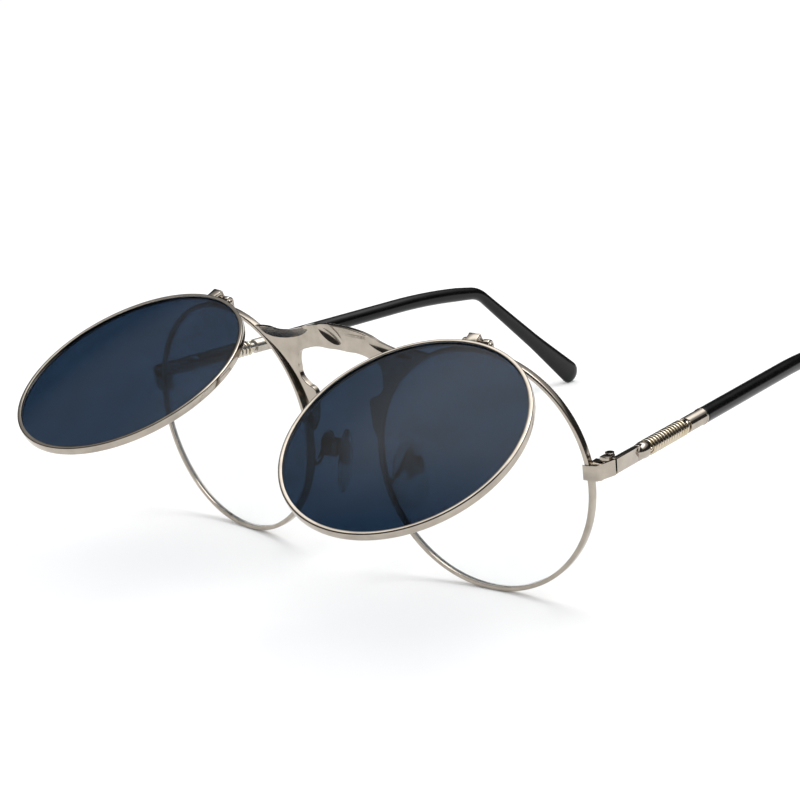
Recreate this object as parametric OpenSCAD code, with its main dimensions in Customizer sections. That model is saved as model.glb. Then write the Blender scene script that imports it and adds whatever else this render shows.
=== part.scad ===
// Flip-up sunglasses with round wire rims.
// Two tinted lenses lift on small hinges at the tops of the clear lenses' rims.
// The temples have a flat front plate, a coil of wire and a long plastic tip.
// Sizes are millimetres. The wearer's left is +X, the front faces -Y, and the glasses stand on Z = 0.

/* [Lenses and rims] */
// Distance between the two lens centres
lens_pitch = 68; // [66:0.5:72]
// Clear opening of an eye rim
eye_open_d = 47.6; // [46:0.1:50]
// Clear opening of a flip rim
flip_open_d = 48; // [46:0.1:50]
// Radial thickness of every rim
rim_wall = 0.9; // [0.8:0.05:1.2]
// Depth of every rim, front to back
rim_depth = 1.65; // [1.4:0.05:1.65]
// Bevel on the outer edges of every rim
rim_bevel = 0.15; // [0.05:0.01:0.25]
// Depth of the lens groove in every rim
groove_depth = 0.4; // [0.3:0.05:0.5]
// Width of the mouth of the lens groove
groove_width = 0.8; // [0.6:0.05:1]
// Thickness of every lens
lens_t = 1; // [0.9:0.05:1.2]
// Radius to which every lens is domed
lens_dome_r = 265; // [200:5:600]
// Clearance between a lens's edge and its groove
lens_clear = 0.03; // [0.02:0.01:0.06]
// Angle by which each lens is turned back at the temple side
wrap = 6.2; // [2:0.1:8]
// Lean of the front while the glasses stand on a table
tilt = 3.7; // [2:0.1:5]

/* [Flip hinges] */
// Distance of a flip rim's middle plane in front of the eye rim's, closed
flip_gap = 1.86; // [1.8:0.02:2.4]
// Height of the hinge axis above the top of the eye rim
flip_axis_rise = 0.83; // [0.8:0.01:1.3]
// Distance from the hinge axis down to the top of the flip rim
flip_hang = 1.42; // [1.3:0.02:2]
// Distance of the hinge's middle from the lens centre, towards the temple
flip_hinge_x = 0.8; // [0:0.1:2]
// Diameter of the two outer knuckles
flip_knuckle_d = 2.5; // [2.2:0.1:2.5]
// Length of each outer knuckle
flip_knuckle_len = 1.7; // [1.4:0.1:2.2]
// Diameter of the middle knuckle
flip_eye_d = 1.3; // [1.2:0.05:1.3]
// Length of the middle knuckle
flip_eye_len = 2.6; // [2:0.1:3.4]
// Diameter of the hinge pin
flip_pin_d = 0.6; // [0.5:0.05:0.65]
// Diameter of the pin's domed heads
flip_head_d = 1.3; // [1.1:0.05:1.5]
// Height of the pin's domed heads
flip_head_h = 0.4; // [0.3:0.05:0.5]
// Height of the flip arm above the hinge axis
flip_arm_rise = 0.75; // [0.6:0.05:0.9]
// Front to back thickness of the flip arm
flip_arm_t = 1.2; // [1:0.05:1.4]
// Angle by which the left tinted lens is raised from closed
left_raise = 62.8; // [0:0.1:95]
// Angle by which the right tinted lens is raised from closed
right_raise = 67.7; // [0:0.1:95]

/* [Bridge] */
// Thickness of the bridge plate
bridge_t = 1.2; // [1:0.05:1.5]
// Distance of the plate's front face in front of the lens centres
bridge_front = 2.2; // [2.1:0.05:2.4]
// Height of the bridge's crest above the tops of the eye rims
bridge_rise = 0.55; // [0:0.05:2]
// Distance of the arch below the tops of the eye rims
arch_drop = 4.5; // [3.5:0.1:5.5]
// Half the length of the flat part of the arch
arch_half = 5.5; // [4.5:0.1:6]
// Width of each leg of the bridge where it leaves the arch
leg_w = 4.9; // [4:0.1:5.5]
// Depth of the scoops in the plate's front
scoop_depth = 0.35; // [0.2:0.05:0.5]
// Length of the scoop over each lens
scoop_len = 11; // [8:0.5:12]
// Width of the scoop over each lens
scoop_w = 2.6; // [1.8:0.1:3]
// Distance of each scoop's middle from the middle of the bridge
scoop_x = 15.5; // [14:0.5:16.5]
// Distance of each scoop's middle below the crest
scoop_drop = 4.2; // [3.5:0.1:4.5]
// Length of the leaf-shaped dent over the arch
dent_len = 7; // [5:0.5:8]
// Width of the leaf-shaped dent over the arch
dent_w = 2.8; // [2:0.1:3]
// Distance of the dent's middle to the right of the middle of the bridge
dent_x = 2.2; // [0:0.1:3]
// Height of the dent's middle above the arch
dent_rise = 2.4; // [2:0.1:2.8]

/* [End pieces] */
// Height of an end piece
end_h = 3.1; // [2.8:0.05:3.6]
// Height of an end piece's middle above the lens centre, at the rim
end_z = 3.1; // [2:0.1:4]
// Distance by which an end piece overlaps the inside of the rim
end_lap = 0.85; // [0.4:0.05:1.2]
// Distance by which an end piece stands proud of the rim's front
end_proud = 0.15; // [0.1:0.01:0.2]
// Length of an end piece's front face before it turns back towards the temple
end_front = 2.9; // [2.8:0.05:3.2]
// Length that the rounded outer corner takes up on each side of the corner
end_corner = 1.6; // [1:0.1:2]
// Gap between an end piece and its temple, open
end_gap = 0.3; // [0.2:0.05:0.4]
// Slit in the eye rim behind the end piece
rim_slit = 0.3; // [0.2:0.05:0.5]
// Width of a rim lock block
lock_w = 1.8; // [1.6:0.05:1.85]
// Front to back depth of a rim lock block
lock_t = 1.7; // [1.5:0.05:1.8]
// Height of both halves of a rim lock together
lock_h = 3.5; // [3:0.1:4]
// Diameter of the rim lock screw
lock_screw_d = 0.8; // [0.6:0.05:0.85]

/* [Temples] */
// Distance of a temple's reference point outside its eye rim
temple_out = 3.92; // [3.9:0.02:4.8]
// Distance of a temple's reference point behind the rim's middle plane
temple_back = 1.5; // [1.4:0.02:1.9]
// Height of a temple's reference point above the lens centres
temple_z = 4.4; // [3.6:0.1:5]
// Angle by which the temples run inwards
splay = 6.8; // [2:0.1:8]
// Angle by which the temples run down from square to the front
temple_drop = 2.5; // [1:0.1:4]
// Thickness of a temple's front plate
plate_t = 1.2; // [1.1:0.05:1.5]
// Height of a temple's front plate
plate_h = 3.1; // [2.8:0.05:3.4]
// Chamfer along the front plate's edges
plate_chamfer = 0.25; // [0.1:0.05:0.4]
// Length of a temple's front plate behind the reference point
plate_len = 7.9; // [7:0.1:10]
// Length of the round nose between the front plate and the coil
nose_len = 2.5; // [2:0.1:4]
// Outer diameter of the coil and of the round nose
coil_d = 3.4; // [3.2:0.05:3.8]
// Diameter of the coil's wire
coil_wire = 0.55; // [0.4:0.01:0.56]
// Distance from one turn of the coil to the next
coil_step = 1; // [1:0.01:1.2]
// Number of turns of the coil
coil_turns = 14; // [9:1:15]
// Radius in which the wire turns from the coil into its straight ends
coil_bend_r = 0.7; // [0.5:0.05:1]
// Clearance between the coil and the rod inside it
coil_clear = 0.1; // [0.05:0.01:0.2]
// Length of the round shank behind the coil
shank_len = 6.3; // [5:0.1:10]
// Diameter of the round shank
shank_d = 3.2; // [2.8:0.05:3.4]
// Length of the lip at the shank's rear end
lip_len = 0.4; // [0.3:0.05:0.8]
// Diameter of the metal core inside the plastic tip
core_d = 1.4; // [1:0.1:1.8]
// Length by which the core stops short of the tip's end
core_short = 8; // [6:0.5:20]
// Clearance between the core and the plastic
core_clear = 0.05; // [0.03:0.01:0.1]

/* [Temple tips] */
// Diameter of the plastic where it starts
sleeve_d = 3.36; // [3.2:0.02:3.8]
// Length of a temple's straight part
straight_len = 69; // [60:0.5:85]
// Length of the gently bowed part before the bend
bow_len = 24.3; // [15:0.5:30]
// Angle through which the gently bowed part turns
bow_turn = 9; // [4:0.5:12]
// Radius of the bend behind the ear
bend_r = 8.5; // [6:0.5:15]
// Angle through which the bend turns
bend_turn = 33; // [25:0.5:40]
// Height of the plastic just behind the bend
waist_h = 2.7; // [2.4:0.1:3.2]
// Height of the plastic at its rounded end
tip_h = 5.5; // [4.5:0.1:6.5]
// Sideways thickness of the plastic at its rounded end
tip_w = 2.3; // [2:0.1:3]

/* [Temple hinges] */
// Diameter of the hinge's knuckles
knuckle_d = 2; // [1.9:0.05:2.1]
// Distance of the hinge axis behind the temple's reference point
hinge_back = 1; // [1:0.05:1.3]
// Distance of the gap's middle in front of the temple's reference point
gap_ahead = 0.5; // [0.45:0.05:0.6]
// Height of the temple's tongue between the two lugs
tongue_h = 1.3; // [1.2:0.05:1.8]
// Length by which each lug reaches forward from the hinge axis into the end piece
lug_root = 2.1; // [1.9:0.1:2.4]
// Height of each lug
lug_h = 1; // [0.9:0.05:1.4]
// Diameter of the hinge screw
hinge_screw_d = 1.1; // [1:0.05:1.2]
// Diameter of the hinge screw's head
hinge_head_d = 1.8; // [1.6:0.05:2]
// Height of a screw's head
screw_head_h = 0.4; // [0.3:0.05:0.5]
// Width and depth of a screw's slot
screw_slot = 0.25; // [0.15:0.05:0.3]

/* [Nose pads] */
// Length of a nose pad
pad_len = 13.8; // [12:0.1:15]
// Width of a nose pad
pad_w = 7.6; // [6.5:0.1:8]
// Thickness of a nose pad at its crown
pad_t = 1.8; // [1.4:0.1:2.2]
// Thickness of a nose pad at its edge
pad_edge_t = 0.9; // [0.6:0.1:1.2]
// Distance of the pad screw from the middle of the front
pad_x = 11.4; // [11:0.1:12.5]
// Distance of the pad screw behind the lens centres
pad_y = 4.8; // [4:0.1:6]
// Distance of the pad screw below the lens centres
pad_drop = 4.4; // [3:0.1:6]
// Distance of a pad's middle below its screw
pad_hang = 2.7; // [1:0.1:3.5]
// Angle by which a pad's rear edge turns outwards
pad_turn = 25; // [15:1:35]
// Angle by which a pad's lower end leans outwards
pad_lean = 8; // [0:1:12]
// Distance from the pad screw to the back of the pad
pad_reach = 2.3; // [2.2:0.1:3]
// Width of a pad box, front to back
box_w = 3; // [2.8:0.1:3.4]
// Height of a pad box
box_h = 3.2; // [3:0.1:3.6]
// Depth of a pad box
box_depth = 3; // [2.9:0.1:3.4]
// Wall of a pad box
box_wall = 0.4; // [0.35:0.05:0.5]
// Diameter of the eye on a pad's stem
pad_eye_d = 1.9; // [1.7:0.05:2]
// Thickness of the eye on a pad's stem
pad_eye_t = 1.3; // [1:0.05:1.6]
// Diameter of the stem between the eye and the pad
pad_stem_d = 1; // [0.8:0.05:1.2]
// Diameter of a pad screw
pad_screw_d = 0.8; // [0.7:0.05:0.9]
// Diameter of a pad arm's wire
arm_wire = 1.1; // [0.9:0.05:1.2]
// Distance below the lens centres at which a pad arm leaves its rim
arm_root_drop = 6; // [5:0.5:8]
// Height to which a pad arm rises above its pad screw
arm_rise = 3.4; // [3.2:0.1:4]
// Distance by which a pad arm reaches back before it bends over to the pad
arm_reach = 3.2; // [2.6:0.1:3.6]

/* [Clearances] */
// Radial clearance of each moving bore on its pin or screw
run_clear = 0.04; // [0.02:0.01:0.08]
// Radial clearance of each fixed bore on its pin or screw
fixed_clear = 0.02; // [0.01:0.01:0.04]
// Gap between knuckles side by side
side_clear = 0.08; // [0.05:0.01:0.15]
// Gap kept between a closed flip rim and the front
flip_clear = 0.25; // [0.2:0.01:0.3]

/* [Hidden] */
$fn = 96;
eps = 0.01;
// Length by which a cutting solid runs past what it cuts
past = 5;
// Sides of the cylinders that shape a face to a rim
rim_fn = 200;
// Straight steps in a short curve
curve_steps = 8;
silver = [0.78, 0.76, 0.72];
gold = [0.85, 0.74, 0.52];
black = [0.05, 0.05, 0.06];

// A point [out, back] seen from above in a lens's frame, in the frame of the front
function from_lens(p) =
    [lens_x + p[0] * cos(wrap) - p[1] * sin(wrap), p[0] * sin(wrap) + p[1] * cos(wrap)];

// Places worked out from the sizes above
lens_x = lens_pitch / 2;
eye_r = eye_open_d / 2;
eye_out_r = eye_r + rim_wall;
temple_x = from_lens([eye_out_r + temple_out, temple_back])[0];
temple_y = from_lens([eye_out_r + temple_out, temple_back])[1];
flip_r = flip_open_d / 2;
flip_out_r = flip_r + rim_wall;
rim_back = rim_depth / 2;
flip_axis_z = eye_out_r + flip_axis_rise;
flip_back = rim_back - flip_gap;
flip_barrel_half = flip_eye_len / 2 + side_clear + flip_knuckle_len;
plate_front = end_gap / 2 - gap_ahead;
end_back = plate_front - end_gap;
hinge_x = -(plate_t + knuckle_d) / 2 - side_clear;
nose_end = plate_len + nose_len;
coil_r = (coil_d - coil_wire) / 2;
coil_slope = atan2(coil_step, 2 * PI * coil_r);
coil_end_len = coil_wire + coil_bend_r * cos(coil_slope);
coil_len = 2 * coil_end_len + coil_turns * coil_step;
shank_start = nose_end + coil_len;
sleeve_start = shank_start + shank_len + lip_len;
rod_r = coil_d / 2 - coil_wire - coil_clear;
lug_top = tongue_h / 2 + side_clear + lug_h;
core_r = core_d / 2;

// Turning matrices about X and Z
function turn_x(a) = [[1, 0, 0], [0, cos(a), -sin(a)], [0, sin(a), cos(a)]];
function turn_z(a) = [[cos(a), -sin(a), 0], [sin(a), cos(a), 0], [0, 0, 1]];

// Height of the lens centres over the table: the rims' lowest points touch it
rim_lean = cos(wrap) * sin(tilt);
rim_h = eye_out_r * sqrt(1 - rim_lean * rim_lean) + (rim_back - rim_bevel) * rim_lean;

// A point given in a temple's frame, in the tilted frame of the front
function temple_to_front(p) =
    [temple_x, temple_y, temple_z] + turn_z(splay) * turn_x(-temple_drop) * p;
// A point of the front over the table
function front_to_table(p) = turn_x(tilt) * p + [0, 0, rim_h];

// Centre line of a temple in its own upright plane: [back, up, angle downwards] at a given length
bow_r = bow_len / bow_turn * 180 / PI;
bend_len = bend_r * bend_turn * PI / 180;
tip_turn = bow_turn + bend_turn;
bow_end = [straight_len + bow_r * sin(bow_turn), -bow_r * (1 - cos(bow_turn))];
function bend_at(a) = bow_end + bend_r * [sin(a) - sin(bow_turn), cos(a) - cos(bow_turn)];
bend_end = bend_at(tip_turn);
bow_stop = straight_len + bow_len;
bend_stop = bow_stop + bend_len;
function line_at(u) =
    u <= straight_len ? [u, 0, 0] :
    u <= bow_stop ? bow_at((u - straight_len) / bow_len * bow_turn) :
    u <= bend_stop ? concat(bend_at(bend_angle(u)), bend_angle(u)) :
    concat(bend_end + (u - bend_stop) * [cos(tip_turn), -sin(tip_turn)], tip_turn);
function bow_at(a) = [straight_len + bow_r * sin(a), -bow_r * (1 - cos(a)), a];
function bend_angle(u) = bow_turn + (u - bow_stop) / bend_len * bend_turn;

// The tip is as long as brings its rounded end down to the table
function table_height(p) = front_to_table(temple_to_front([0, p[0], p[1]]))[2];
tip_fall = table_height(bend_end) - table_height(bend_end + [cos(tip_turn), -sin(tip_turn)]);
tip_len = (table_height(bend_end) - tip_h / 2) / tip_fall;
tip_end = bend_stop + tip_len;

// Half height and half width of the plastic along the centre line
tip_heights = [[sleeve_start, sleeve_d / 2], [straight_len + bow_len * 0.8, sleeve_d / 2],
    [bend_stop, waist_h / 2], [bend_stop + tip_len * 0.6, waist_h / 2 + (tip_h - waist_h) * 0.18],
    [bend_stop + tip_len * 0.9, waist_h / 2 + (tip_h - waist_h) * 0.42], [tip_end, tip_h / 2]];
tip_widths = [[sleeve_start, sleeve_d / 2], [straight_len, sleeve_d / 2],
    [bend_stop, waist_h / 2], [tip_end, tip_w / 2]];
tip_stations = concat([sleeve_start, straight_len],
    [for (i = [1:4]) straight_len + bow_len * i / 4],
    [for (i = [1:4]) bow_stop + bend_len * i / 4],
    [for (i = [1:5]) bend_stop + tip_len * i / 5]);
cap_angles = [20, 40, 58, 74, 86];

// One ring of points round the centre line, in a temple's frame
function temple_ring(u, half_h, half_w, sides, shift = 0) =
    let (c = line_at(u), a = c[2])
    [for (i = [0:sides - 1]) let (t = (i + 0.5) * 360 / sides)
        [half_w * cos(t),
         c[0] + shift * cos(a) + half_h * sin(t) * sin(a),
         c[1] - shift * sin(a) + half_h * sin(t) * cos(a)]];
tip_sides = 16;
tip_rings = concat(
    [for (u = tip_stations)
        temple_ring(u, lookup(u, tip_heights), lookup(u, tip_widths), tip_sides)],
    [for (a = cap_angles)
        temple_ring(tip_end, tip_h / 2 * cos(a), tip_w / 2 * cos(a), tip_sides, tip_h / 2 * sin(a))]);
tip_back = max([for (ring = tip_rings) for (p = ring) front_to_table(temple_to_front(p))[1]]);

// The glasses stand centred over the origin, from the foremost flip rim to the tips
function flip_foremost(raise) =
    let (hinge = turn_z(wrap) * [flip_hinge_x, 0, flip_axis_z],
         m = turn_x(tilt) * turn_z(wrap) * turn_x(-raise),
         c = turn_x(tilt) * hinge + m * [0, -flip_gap, -flip_hang - flip_out_r],
         lean = abs(m[1][1]), spread = sqrt(1 - lean * lean))
    c[1] - max(flip_out_r * spread + (rim_back - rim_bevel) * lean,
        (flip_out_r - rim_bevel) * spread + rim_back * lean);
front_y = -(min(flip_foremost(left_raise), flip_foremost(right_raise)) + tip_back) / 2;

// Frames
module on_right() {
    mirror([1, 0, 0]) children();
}
module front_frame() {
    translate([0, front_y, rim_h]) rotate([tilt, 0, 0]) children();
}
module lens_frame() {
    translate([lens_x, 0, 0]) rotate([0, 0, wrap]) children();
}
module flip_frame(raise) {
    front_frame() lens_frame() translate([flip_hinge_x, 0, flip_axis_z]) rotate([-raise, 0, 0]) children();
}
module temple_frame() {
    translate([temple_x, temple_y, temple_z]) rotate([0, 0, splay]) rotate([-temple_drop, 0, 0]) children();
}
module hinge_frame() {
    temple_frame() translate([hinge_x, hinge_back, 0]) children();
}
module pad_frame() {
    translate([pad_x, pad_y, -pad_drop]) rotate([0, 0, -pad_turn]) rotate([0, -pad_lean, 0]) children();
}
// A solid that is turned about Z, laid down so that its axis runs front to back
module facing() {
    rotate([90, 0, 0]) children();
}

// A tube through rings of points, with flat triangle ends
module tube(rings) {
    n = len(rings[0]);
    count = len(rings);
    sides = [for (r = [0:count - 2]) for (i = [0:n - 1]) let (j = (i + 1) % n)
        each [[r * n + i, r * n + j, (r + 1) * n + j], [r * n + i, (r + 1) * n + j, (r + 1) * n + i]]];
    start = [for (i = [1:n - 2]) [0, i + 1, i]];
    finish = [for (i = [1:n - 2]) (count - 1) * n * [1, 1, 1] + [0, i, i + 1]];
    polyhedron([for (ring = rings) each ring], concat(sides, start, finish));
}

// Smooth curve through points
function smooth(p, steps) = [for (i = [0:len(p) - 2]) for (k = [0:steps - 1])
    let (a = p[max(i - 1, 0)], b = p[i], c = p[i + 1], d = p[min(i + 2, len(p) - 1)], t = k / steps)
    0.5 * (2 * b + (c - a) * t + (2 * a - 5 * b + 4 * c - d) * t * t + (3 * b - a - 3 * c + d) * t * t * t)];

// Rims and lenses
module rim(inner_r) {
    outer_r = inner_r + rim_wall;
    facing() rotate_extrude() polygon([[inner_r, -rim_back], [outer_r - rim_bevel, -rim_back],
        [outer_r, rim_bevel - rim_back], [outer_r, rim_back - rim_bevel], [outer_r - rim_bevel, rim_back],
        [inner_r, rim_back], [inner_r, groove_width / 2], [inner_r + groove_depth, 0],
        [inner_r, -groove_width / 2]]);
}
// Forward height of a lens's dome at a distance from its axis, over the groove's plane
function dome(r, edge_r) =
    sqrt(lens_dome_r * lens_dome_r - r * r) - sqrt(lens_dome_r * lens_dome_r - edge_r * edge_r);
module lens(rim_inner_r) {
    edge_r = rim_inner_r + groove_depth - lens_clear * 2;
    face_r = rim_inner_r - lens_clear * 2;
    steps = 6;
    front_face = [for (i = [0:steps]) let (r = face_r * i / steps) [r, dome(r, face_r) + lens_t / 2]];
    back_face = [for (i = [steps:-1:0]) let (r = face_r * i / steps) [r, dome(r, face_r) - lens_t / 2]];
    lip = groove_width / 2 - lens_clear;
    edge = [[face_r, lip], [edge_r, 0], [face_r, -lip]];
    facing() rotate_extrude() polygon(concat(front_face, edge, back_face));
}
module eye_rim() {
    color(silver) front_frame() lens_frame() difference() {
        rim(eye_r);
        translate([eye_r - groove_depth, -rim_depth, end_z - rim_slit / 2])
            cube([rim_wall + 2 * groove_depth, 2 * rim_depth, rim_slit]);
    }
}
module clear_lens() {
    color([0.9, 0.95, 0.97, 0.3]) front_frame() lens_frame() lens(eye_r);
}
module flip_rim(raise) {
    color(silver) flip_frame(raise)
        translate([-flip_hinge_x, -flip_gap, -flip_hang - flip_out_r]) rim(flip_r);
}
module tinted_lens(raise) {
    color([0.12, 0.15, 0.2, 0.9]) flip_frame(raise)
        translate([-flip_hinge_x, -flip_gap, -flip_hang - flip_out_r]) lens(flip_r);
}

// Flip hinges
module along_x(d, from, to) {
    translate([from, 0, 0]) rotate([0, 90, 0]) cylinder(d = d, h = to - from, $fn = 48);
}
module flip_bracket() {
    inner = flip_eye_len / 2 + side_clear;
    color(silver) front_frame() lens_frame() difference() {
        translate([flip_hinge_x, 0, flip_axis_z]) for (side = [-1, 1]) {
            from = side > 0 ? inner : -flip_barrel_half;
            along_x(flip_knuckle_d, from, from + flip_knuckle_len);
            translate([from, -rim_back, -flip_axis_rise - 0.5])
                cube([flip_knuckle_len, rim_back + flip_knuckle_d / 2, flip_axis_rise + 0.5]);
        }
        translate([flip_hinge_x, 0, flip_axis_z])
            along_x(flip_pin_d + 2 * fixed_clear, -flip_barrel_half - past, flip_barrel_half + past);
        facing() cylinder(r = eye_out_r, h = 2 * past, center = true, $fn = rim_fn);
    }
}
module flip_pin() {
    pin_r = flip_pin_d / 2;
    head = [for (i = [0:curve_steps]) let (t = 90 * i / curve_steps)
        [flip_head_d / 2 * cos(t), flip_barrel_half + flip_head_h * sin(t)]];
    far_head = [for (i = [curve_steps:-1:0]) [head[i][0], -head[i][1]]];
    color(silver) front_frame() lens_frame() translate([flip_hinge_x, 0, flip_axis_z])
        rotate([0, 90, 0]) rotate_extrude($fn = 48)
            polygon(concat(head, far_head, [[pin_r, -flip_barrel_half], [pin_r, flip_barrel_half]]));
}
module flip_arm(raise) {
    half = flip_eye_len / 2;
    color(silver) flip_frame(raise) difference() {
        union() {
            along_x(flip_eye_d, -half, half);
            translate([-half, -flip_gap - flip_arm_t / 2, 0.1])
                cube([flip_eye_len, flip_gap + flip_arm_t / 2, flip_arm_rise - 0.1]);
            translate([-half, -flip_gap - flip_arm_t / 2, -flip_hang - 0.3])
                cube([flip_eye_len, flip_arm_t, flip_hang + 0.3 + flip_arm_rise]);
        }
        along_x(flip_pin_d + 2 * run_clear, -half - past, half + past);
        translate([-flip_hinge_x, 0, -flip_hang - flip_out_r])
            facing() cylinder(r = flip_out_r, h = 2 * past, center = true, $fn = rim_fn);
    }
}

// Bridge: points round the nose side of an eye rim are [angle over the lens centre, distance outside
// it as a share of the leg's width]
crest_points = [[52.5, 0.673], [58, 0.378], [66, 0.02]];
leg_points = [[38.4, 1], [37, 0.755], [33.5, 0.51], [30.8, 0.388], [27.8, 0.429], [24.8, 0.592],
    [23.2, 0.755], [21, 0.816], [17.6, 0.694], [10, 0.429], [4.9, 0.255], [1.8, 0]];
function at_rim(p) =
    let (out = eye_out_r + p[1] * leg_w) [lens_x - cos(wrap) * out * cos(p[0]), out * sin(p[0])];
crest_z = eye_out_r + bridge_rise;
arch_z = eye_out_r - arch_drop;
scoop_turn = 6;
dent_turn = 18;
module bridge_outline() {
    crest_end = at_rim(crest_points[0]);
    crest_fall = crest_z - crest_end[1];
    arch_end = at_rim(leg_points[0]);
    crest = smooth(concat([for (p = [[0, 0], [0.293, 0.1], [0.499, 0.33], [0.674, 0.69]])
        [crest_end[0] * p[0], crest_z - crest_fall * p[1]]], [for (p = crest_points) at_rim(p)]), 4);
    rim_side = [for (a = [66:-11:0]) at_rim([a, -0.1])];
    leg = smooth([for (i = [len(leg_points) - 1:-1:0]) at_rim(leg_points[i])], 3);
    shoulder = [arch_half + 0.57 * (arch_end[0] - arch_half), arch_z - 0.386 * (arch_z - arch_end[1])];
    arch = smooth([arch_end, shoulder, [arch_half, arch_z], [0, arch_z]], 3);
    half = concat(crest, rim_side, leg, arch);
    polygon(concat(half, [for (i = [len(half) - 1:-1:1]) [-half[i][0], half[i][1]]]));
}
module scoop(x, z, length, width, angle) {
    // A slice of a ring cuts a leaf-shaped dent
    cut_r = (width * width / 4 + scoop_depth * scoop_depth) / (2 * scoop_depth);
    bow = (length * length / 4 + scoop_depth * scoop_depth) / (2 * scoop_depth);
    translate([x, -bridge_front + scoop_depth - bow, z]) rotate([0, -angle, 0])
        rotate_extrude($fn = 96) translate([bow - cut_r, 0]) circle(r = cut_r, $fn = 48);
}
module bridge() {
    color(silver) front_frame() difference() {
        translate([0, bridge_t - bridge_front, 0]) facing() linear_extrude(bridge_t)
            bridge_outline();
        for (side = [0, 1]) mirror([side, 0, 0]) {
            lens_frame() facing() cylinder(r = eye_out_r, h = 2 * past, center = true, $fn = rim_fn);
            lens_frame() facing() translate([0, 0, -flip_back - flip_clear])
                cylinder(r = flip_out_r + flip_clear, h = past, $fn = rim_fn);
            scoop(scoop_x, crest_z - scoop_drop, scoop_len, scoop_w, scoop_turn);
        }
        scoop(-dent_x, arch_z + dent_rise, dent_len, dent_w, -dent_turn);
    }
}

// End pieces with their lugs, seen from above for the outline
function from_temple(p) = let (q = temple_to_front([p[0], p[1], 0])) [q[0], q[1]];
end_inner = eye_r - end_lap;
lock_edge = 0.1;
lock_x = eye_r + lock_edge;
end_nose = from_lens([end_inner, -rim_back - end_proud]);
end_outer = end_nose + end_front * [cos(wrap), sin(wrap)];
end_side = from_temple([plate_t / 2, end_back]);
module end_outline() {
    corner_start = end_outer - end_corner * [cos(wrap), sin(wrap)];
    corner_stop = end_outer + end_corner * (end_side - end_outer) / norm(end_side - end_outer);
    round_corner = [for (i = [0:curve_steps]) let (t = i / curve_steps)
        (1 - t) * (1 - t) * corner_start + 2 * t * (1 - t) * end_outer + t * t * corner_stop];
    polygon(concat([end_nose], round_corner, [end_side,
        from_temple([hinge_x - knuckle_d / 2 - 0.2, end_back]),
        from_lens([eye_out_r + 1, rim_back]), from_lens([end_inner, rim_back])]));
}
module end_elevation() {
    low = end_z - end_h / 2;
    high = temple_z - end_h / 2;
    polygon([[0, low], [end_outer[0], low], [end_side[0], high], [2 * temple_x, high],
        [2 * temple_x, high + end_h], [end_side[0], high + end_h],
        [end_outer[0], low + end_h], [0, low + end_h]]);
}
module lug(z) {
    hinge_frame() translate([0, 0, z]) {
        cylinder(d = knuckle_d, h = lug_h, $fn = 48);
        translate([-knuckle_d / 2, -lug_root, 0]) cube([knuckle_d, lug_root, lug_h]);
    }
}
module end_piece() {
    color(silver) front_frame() difference() {
        union() {
            intersection() {
                linear_extrude(end_z + temple_z + end_h) end_outline();
                translate([0, 4 * past, 0]) facing() linear_extrude(8 * past) end_elevation();
            }
            lug(tongue_h / 2 + side_clear);
            lug(-lug_top);
        }
        lens_frame() facing() translate([0, 0, -past])
            cylinder(r = eye_out_r, h = rim_back + past, $fn = rim_fn);
        hinge_frame() cylinder(d = hinge_screw_d + 2 * fixed_clear, h = 2 * past, center = true, $fn = 48);
    }
}
module rim_lock() {
    color(silver) front_frame() lens_frame() translate([lock_x, rim_back, end_z]) difference() {
        for (z = [-lock_h / 2, rim_slit / 2])
            translate([0, 0, z]) cube([lock_w, lock_t, (lock_h - rim_slit) / 2]);
        translate([lock_w / 2, lock_t / 2, -past])
            cylinder(d = lock_screw_d + 2 * fixed_clear, h = 2 * past, $fn = 48);
    }
}
module slotted_head(d) {
    difference() {
        cylinder(d = d, h = screw_head_h, $fn = 48);
        translate([-d, -screw_slot / 2, screw_head_h - screw_slot]) cube([2 * d, screw_slot, 1]);
    }
}
module lock_screw() {
    color(silver) front_frame() lens_frame() translate([lock_x + lock_w / 2, rim_back + lock_t / 2, end_z]) {
        translate([0, 0, -lock_h / 2]) cylinder(d = lock_screw_d, h = lock_h, $fn = 48);
        translate([0, 0, -lock_h / 2]) rotate([180, 0, 0]) slotted_head(lock_t - lock_edge);
    }
}
module hinge_screw() {
    color(silver) front_frame() hinge_frame() {
        translate([0, 0, -lug_top]) cylinder(d = hinge_screw_d, h = 2 * lug_top, $fn = 48);
        translate([0, 0, lug_top]) slotted_head(hinge_head_d);
    }
}

// Temples. The round nose is an ellipse cut off short of its end
nose_round = 0.9;
module along_y(d, from, to) {
    translate([0, from, 0]) rotate([-90, 0, 0]) cylinder(d = d, h = to - from, $fn = 64);
}
module temple_bar() {
    half_t = plate_t / 2;
    half_h = plate_h / 2;
    c = plate_chamfer;
    nose_side = [for (i = [0:curve_steps]) let (t = i / curve_steps)
        [coil_d / 2 * sqrt(1 - t * t * nose_round), nose_len * t]];
    color(silver) front_frame() temple_frame() {
        difference() {
            union() {
                translate([0, nose_end - 1, 0]) facing() linear_extrude(nose_end - 1 - plate_front) polygon([
                    [half_t, half_h - c], [half_t - c, half_h],
                    [c - half_t, half_h], [-half_t, half_h - c],
                    [-half_t, c - half_h], [c - half_t, -half_h],
                    [half_t - c, -half_h], [half_t, c - half_h]]);
                intersection() {
                    along_y(coil_d, plate_len, nose_end);
                    translate([0, nose_end, 0]) facing() rotate_extrude($fn = 64)
                        polygon(concat([[0, 0]], nose_side, [[0, nose_len]]));
                }
                translate([hinge_x, hinge_back, -tongue_h / 2]) {
                    cylinder(d = knuckle_d, h = tongue_h, $fn = 48);
                    translate([0, -knuckle_d / 2, 0]) cube([-hinge_x, knuckle_d, tongue_h]);
                }
            }
            translate([hinge_x, hinge_back, -past])
                cylinder(d = hinge_screw_d + 2 * run_clear, h = 2 * past, $fn = 48);
        }
    }
}
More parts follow.
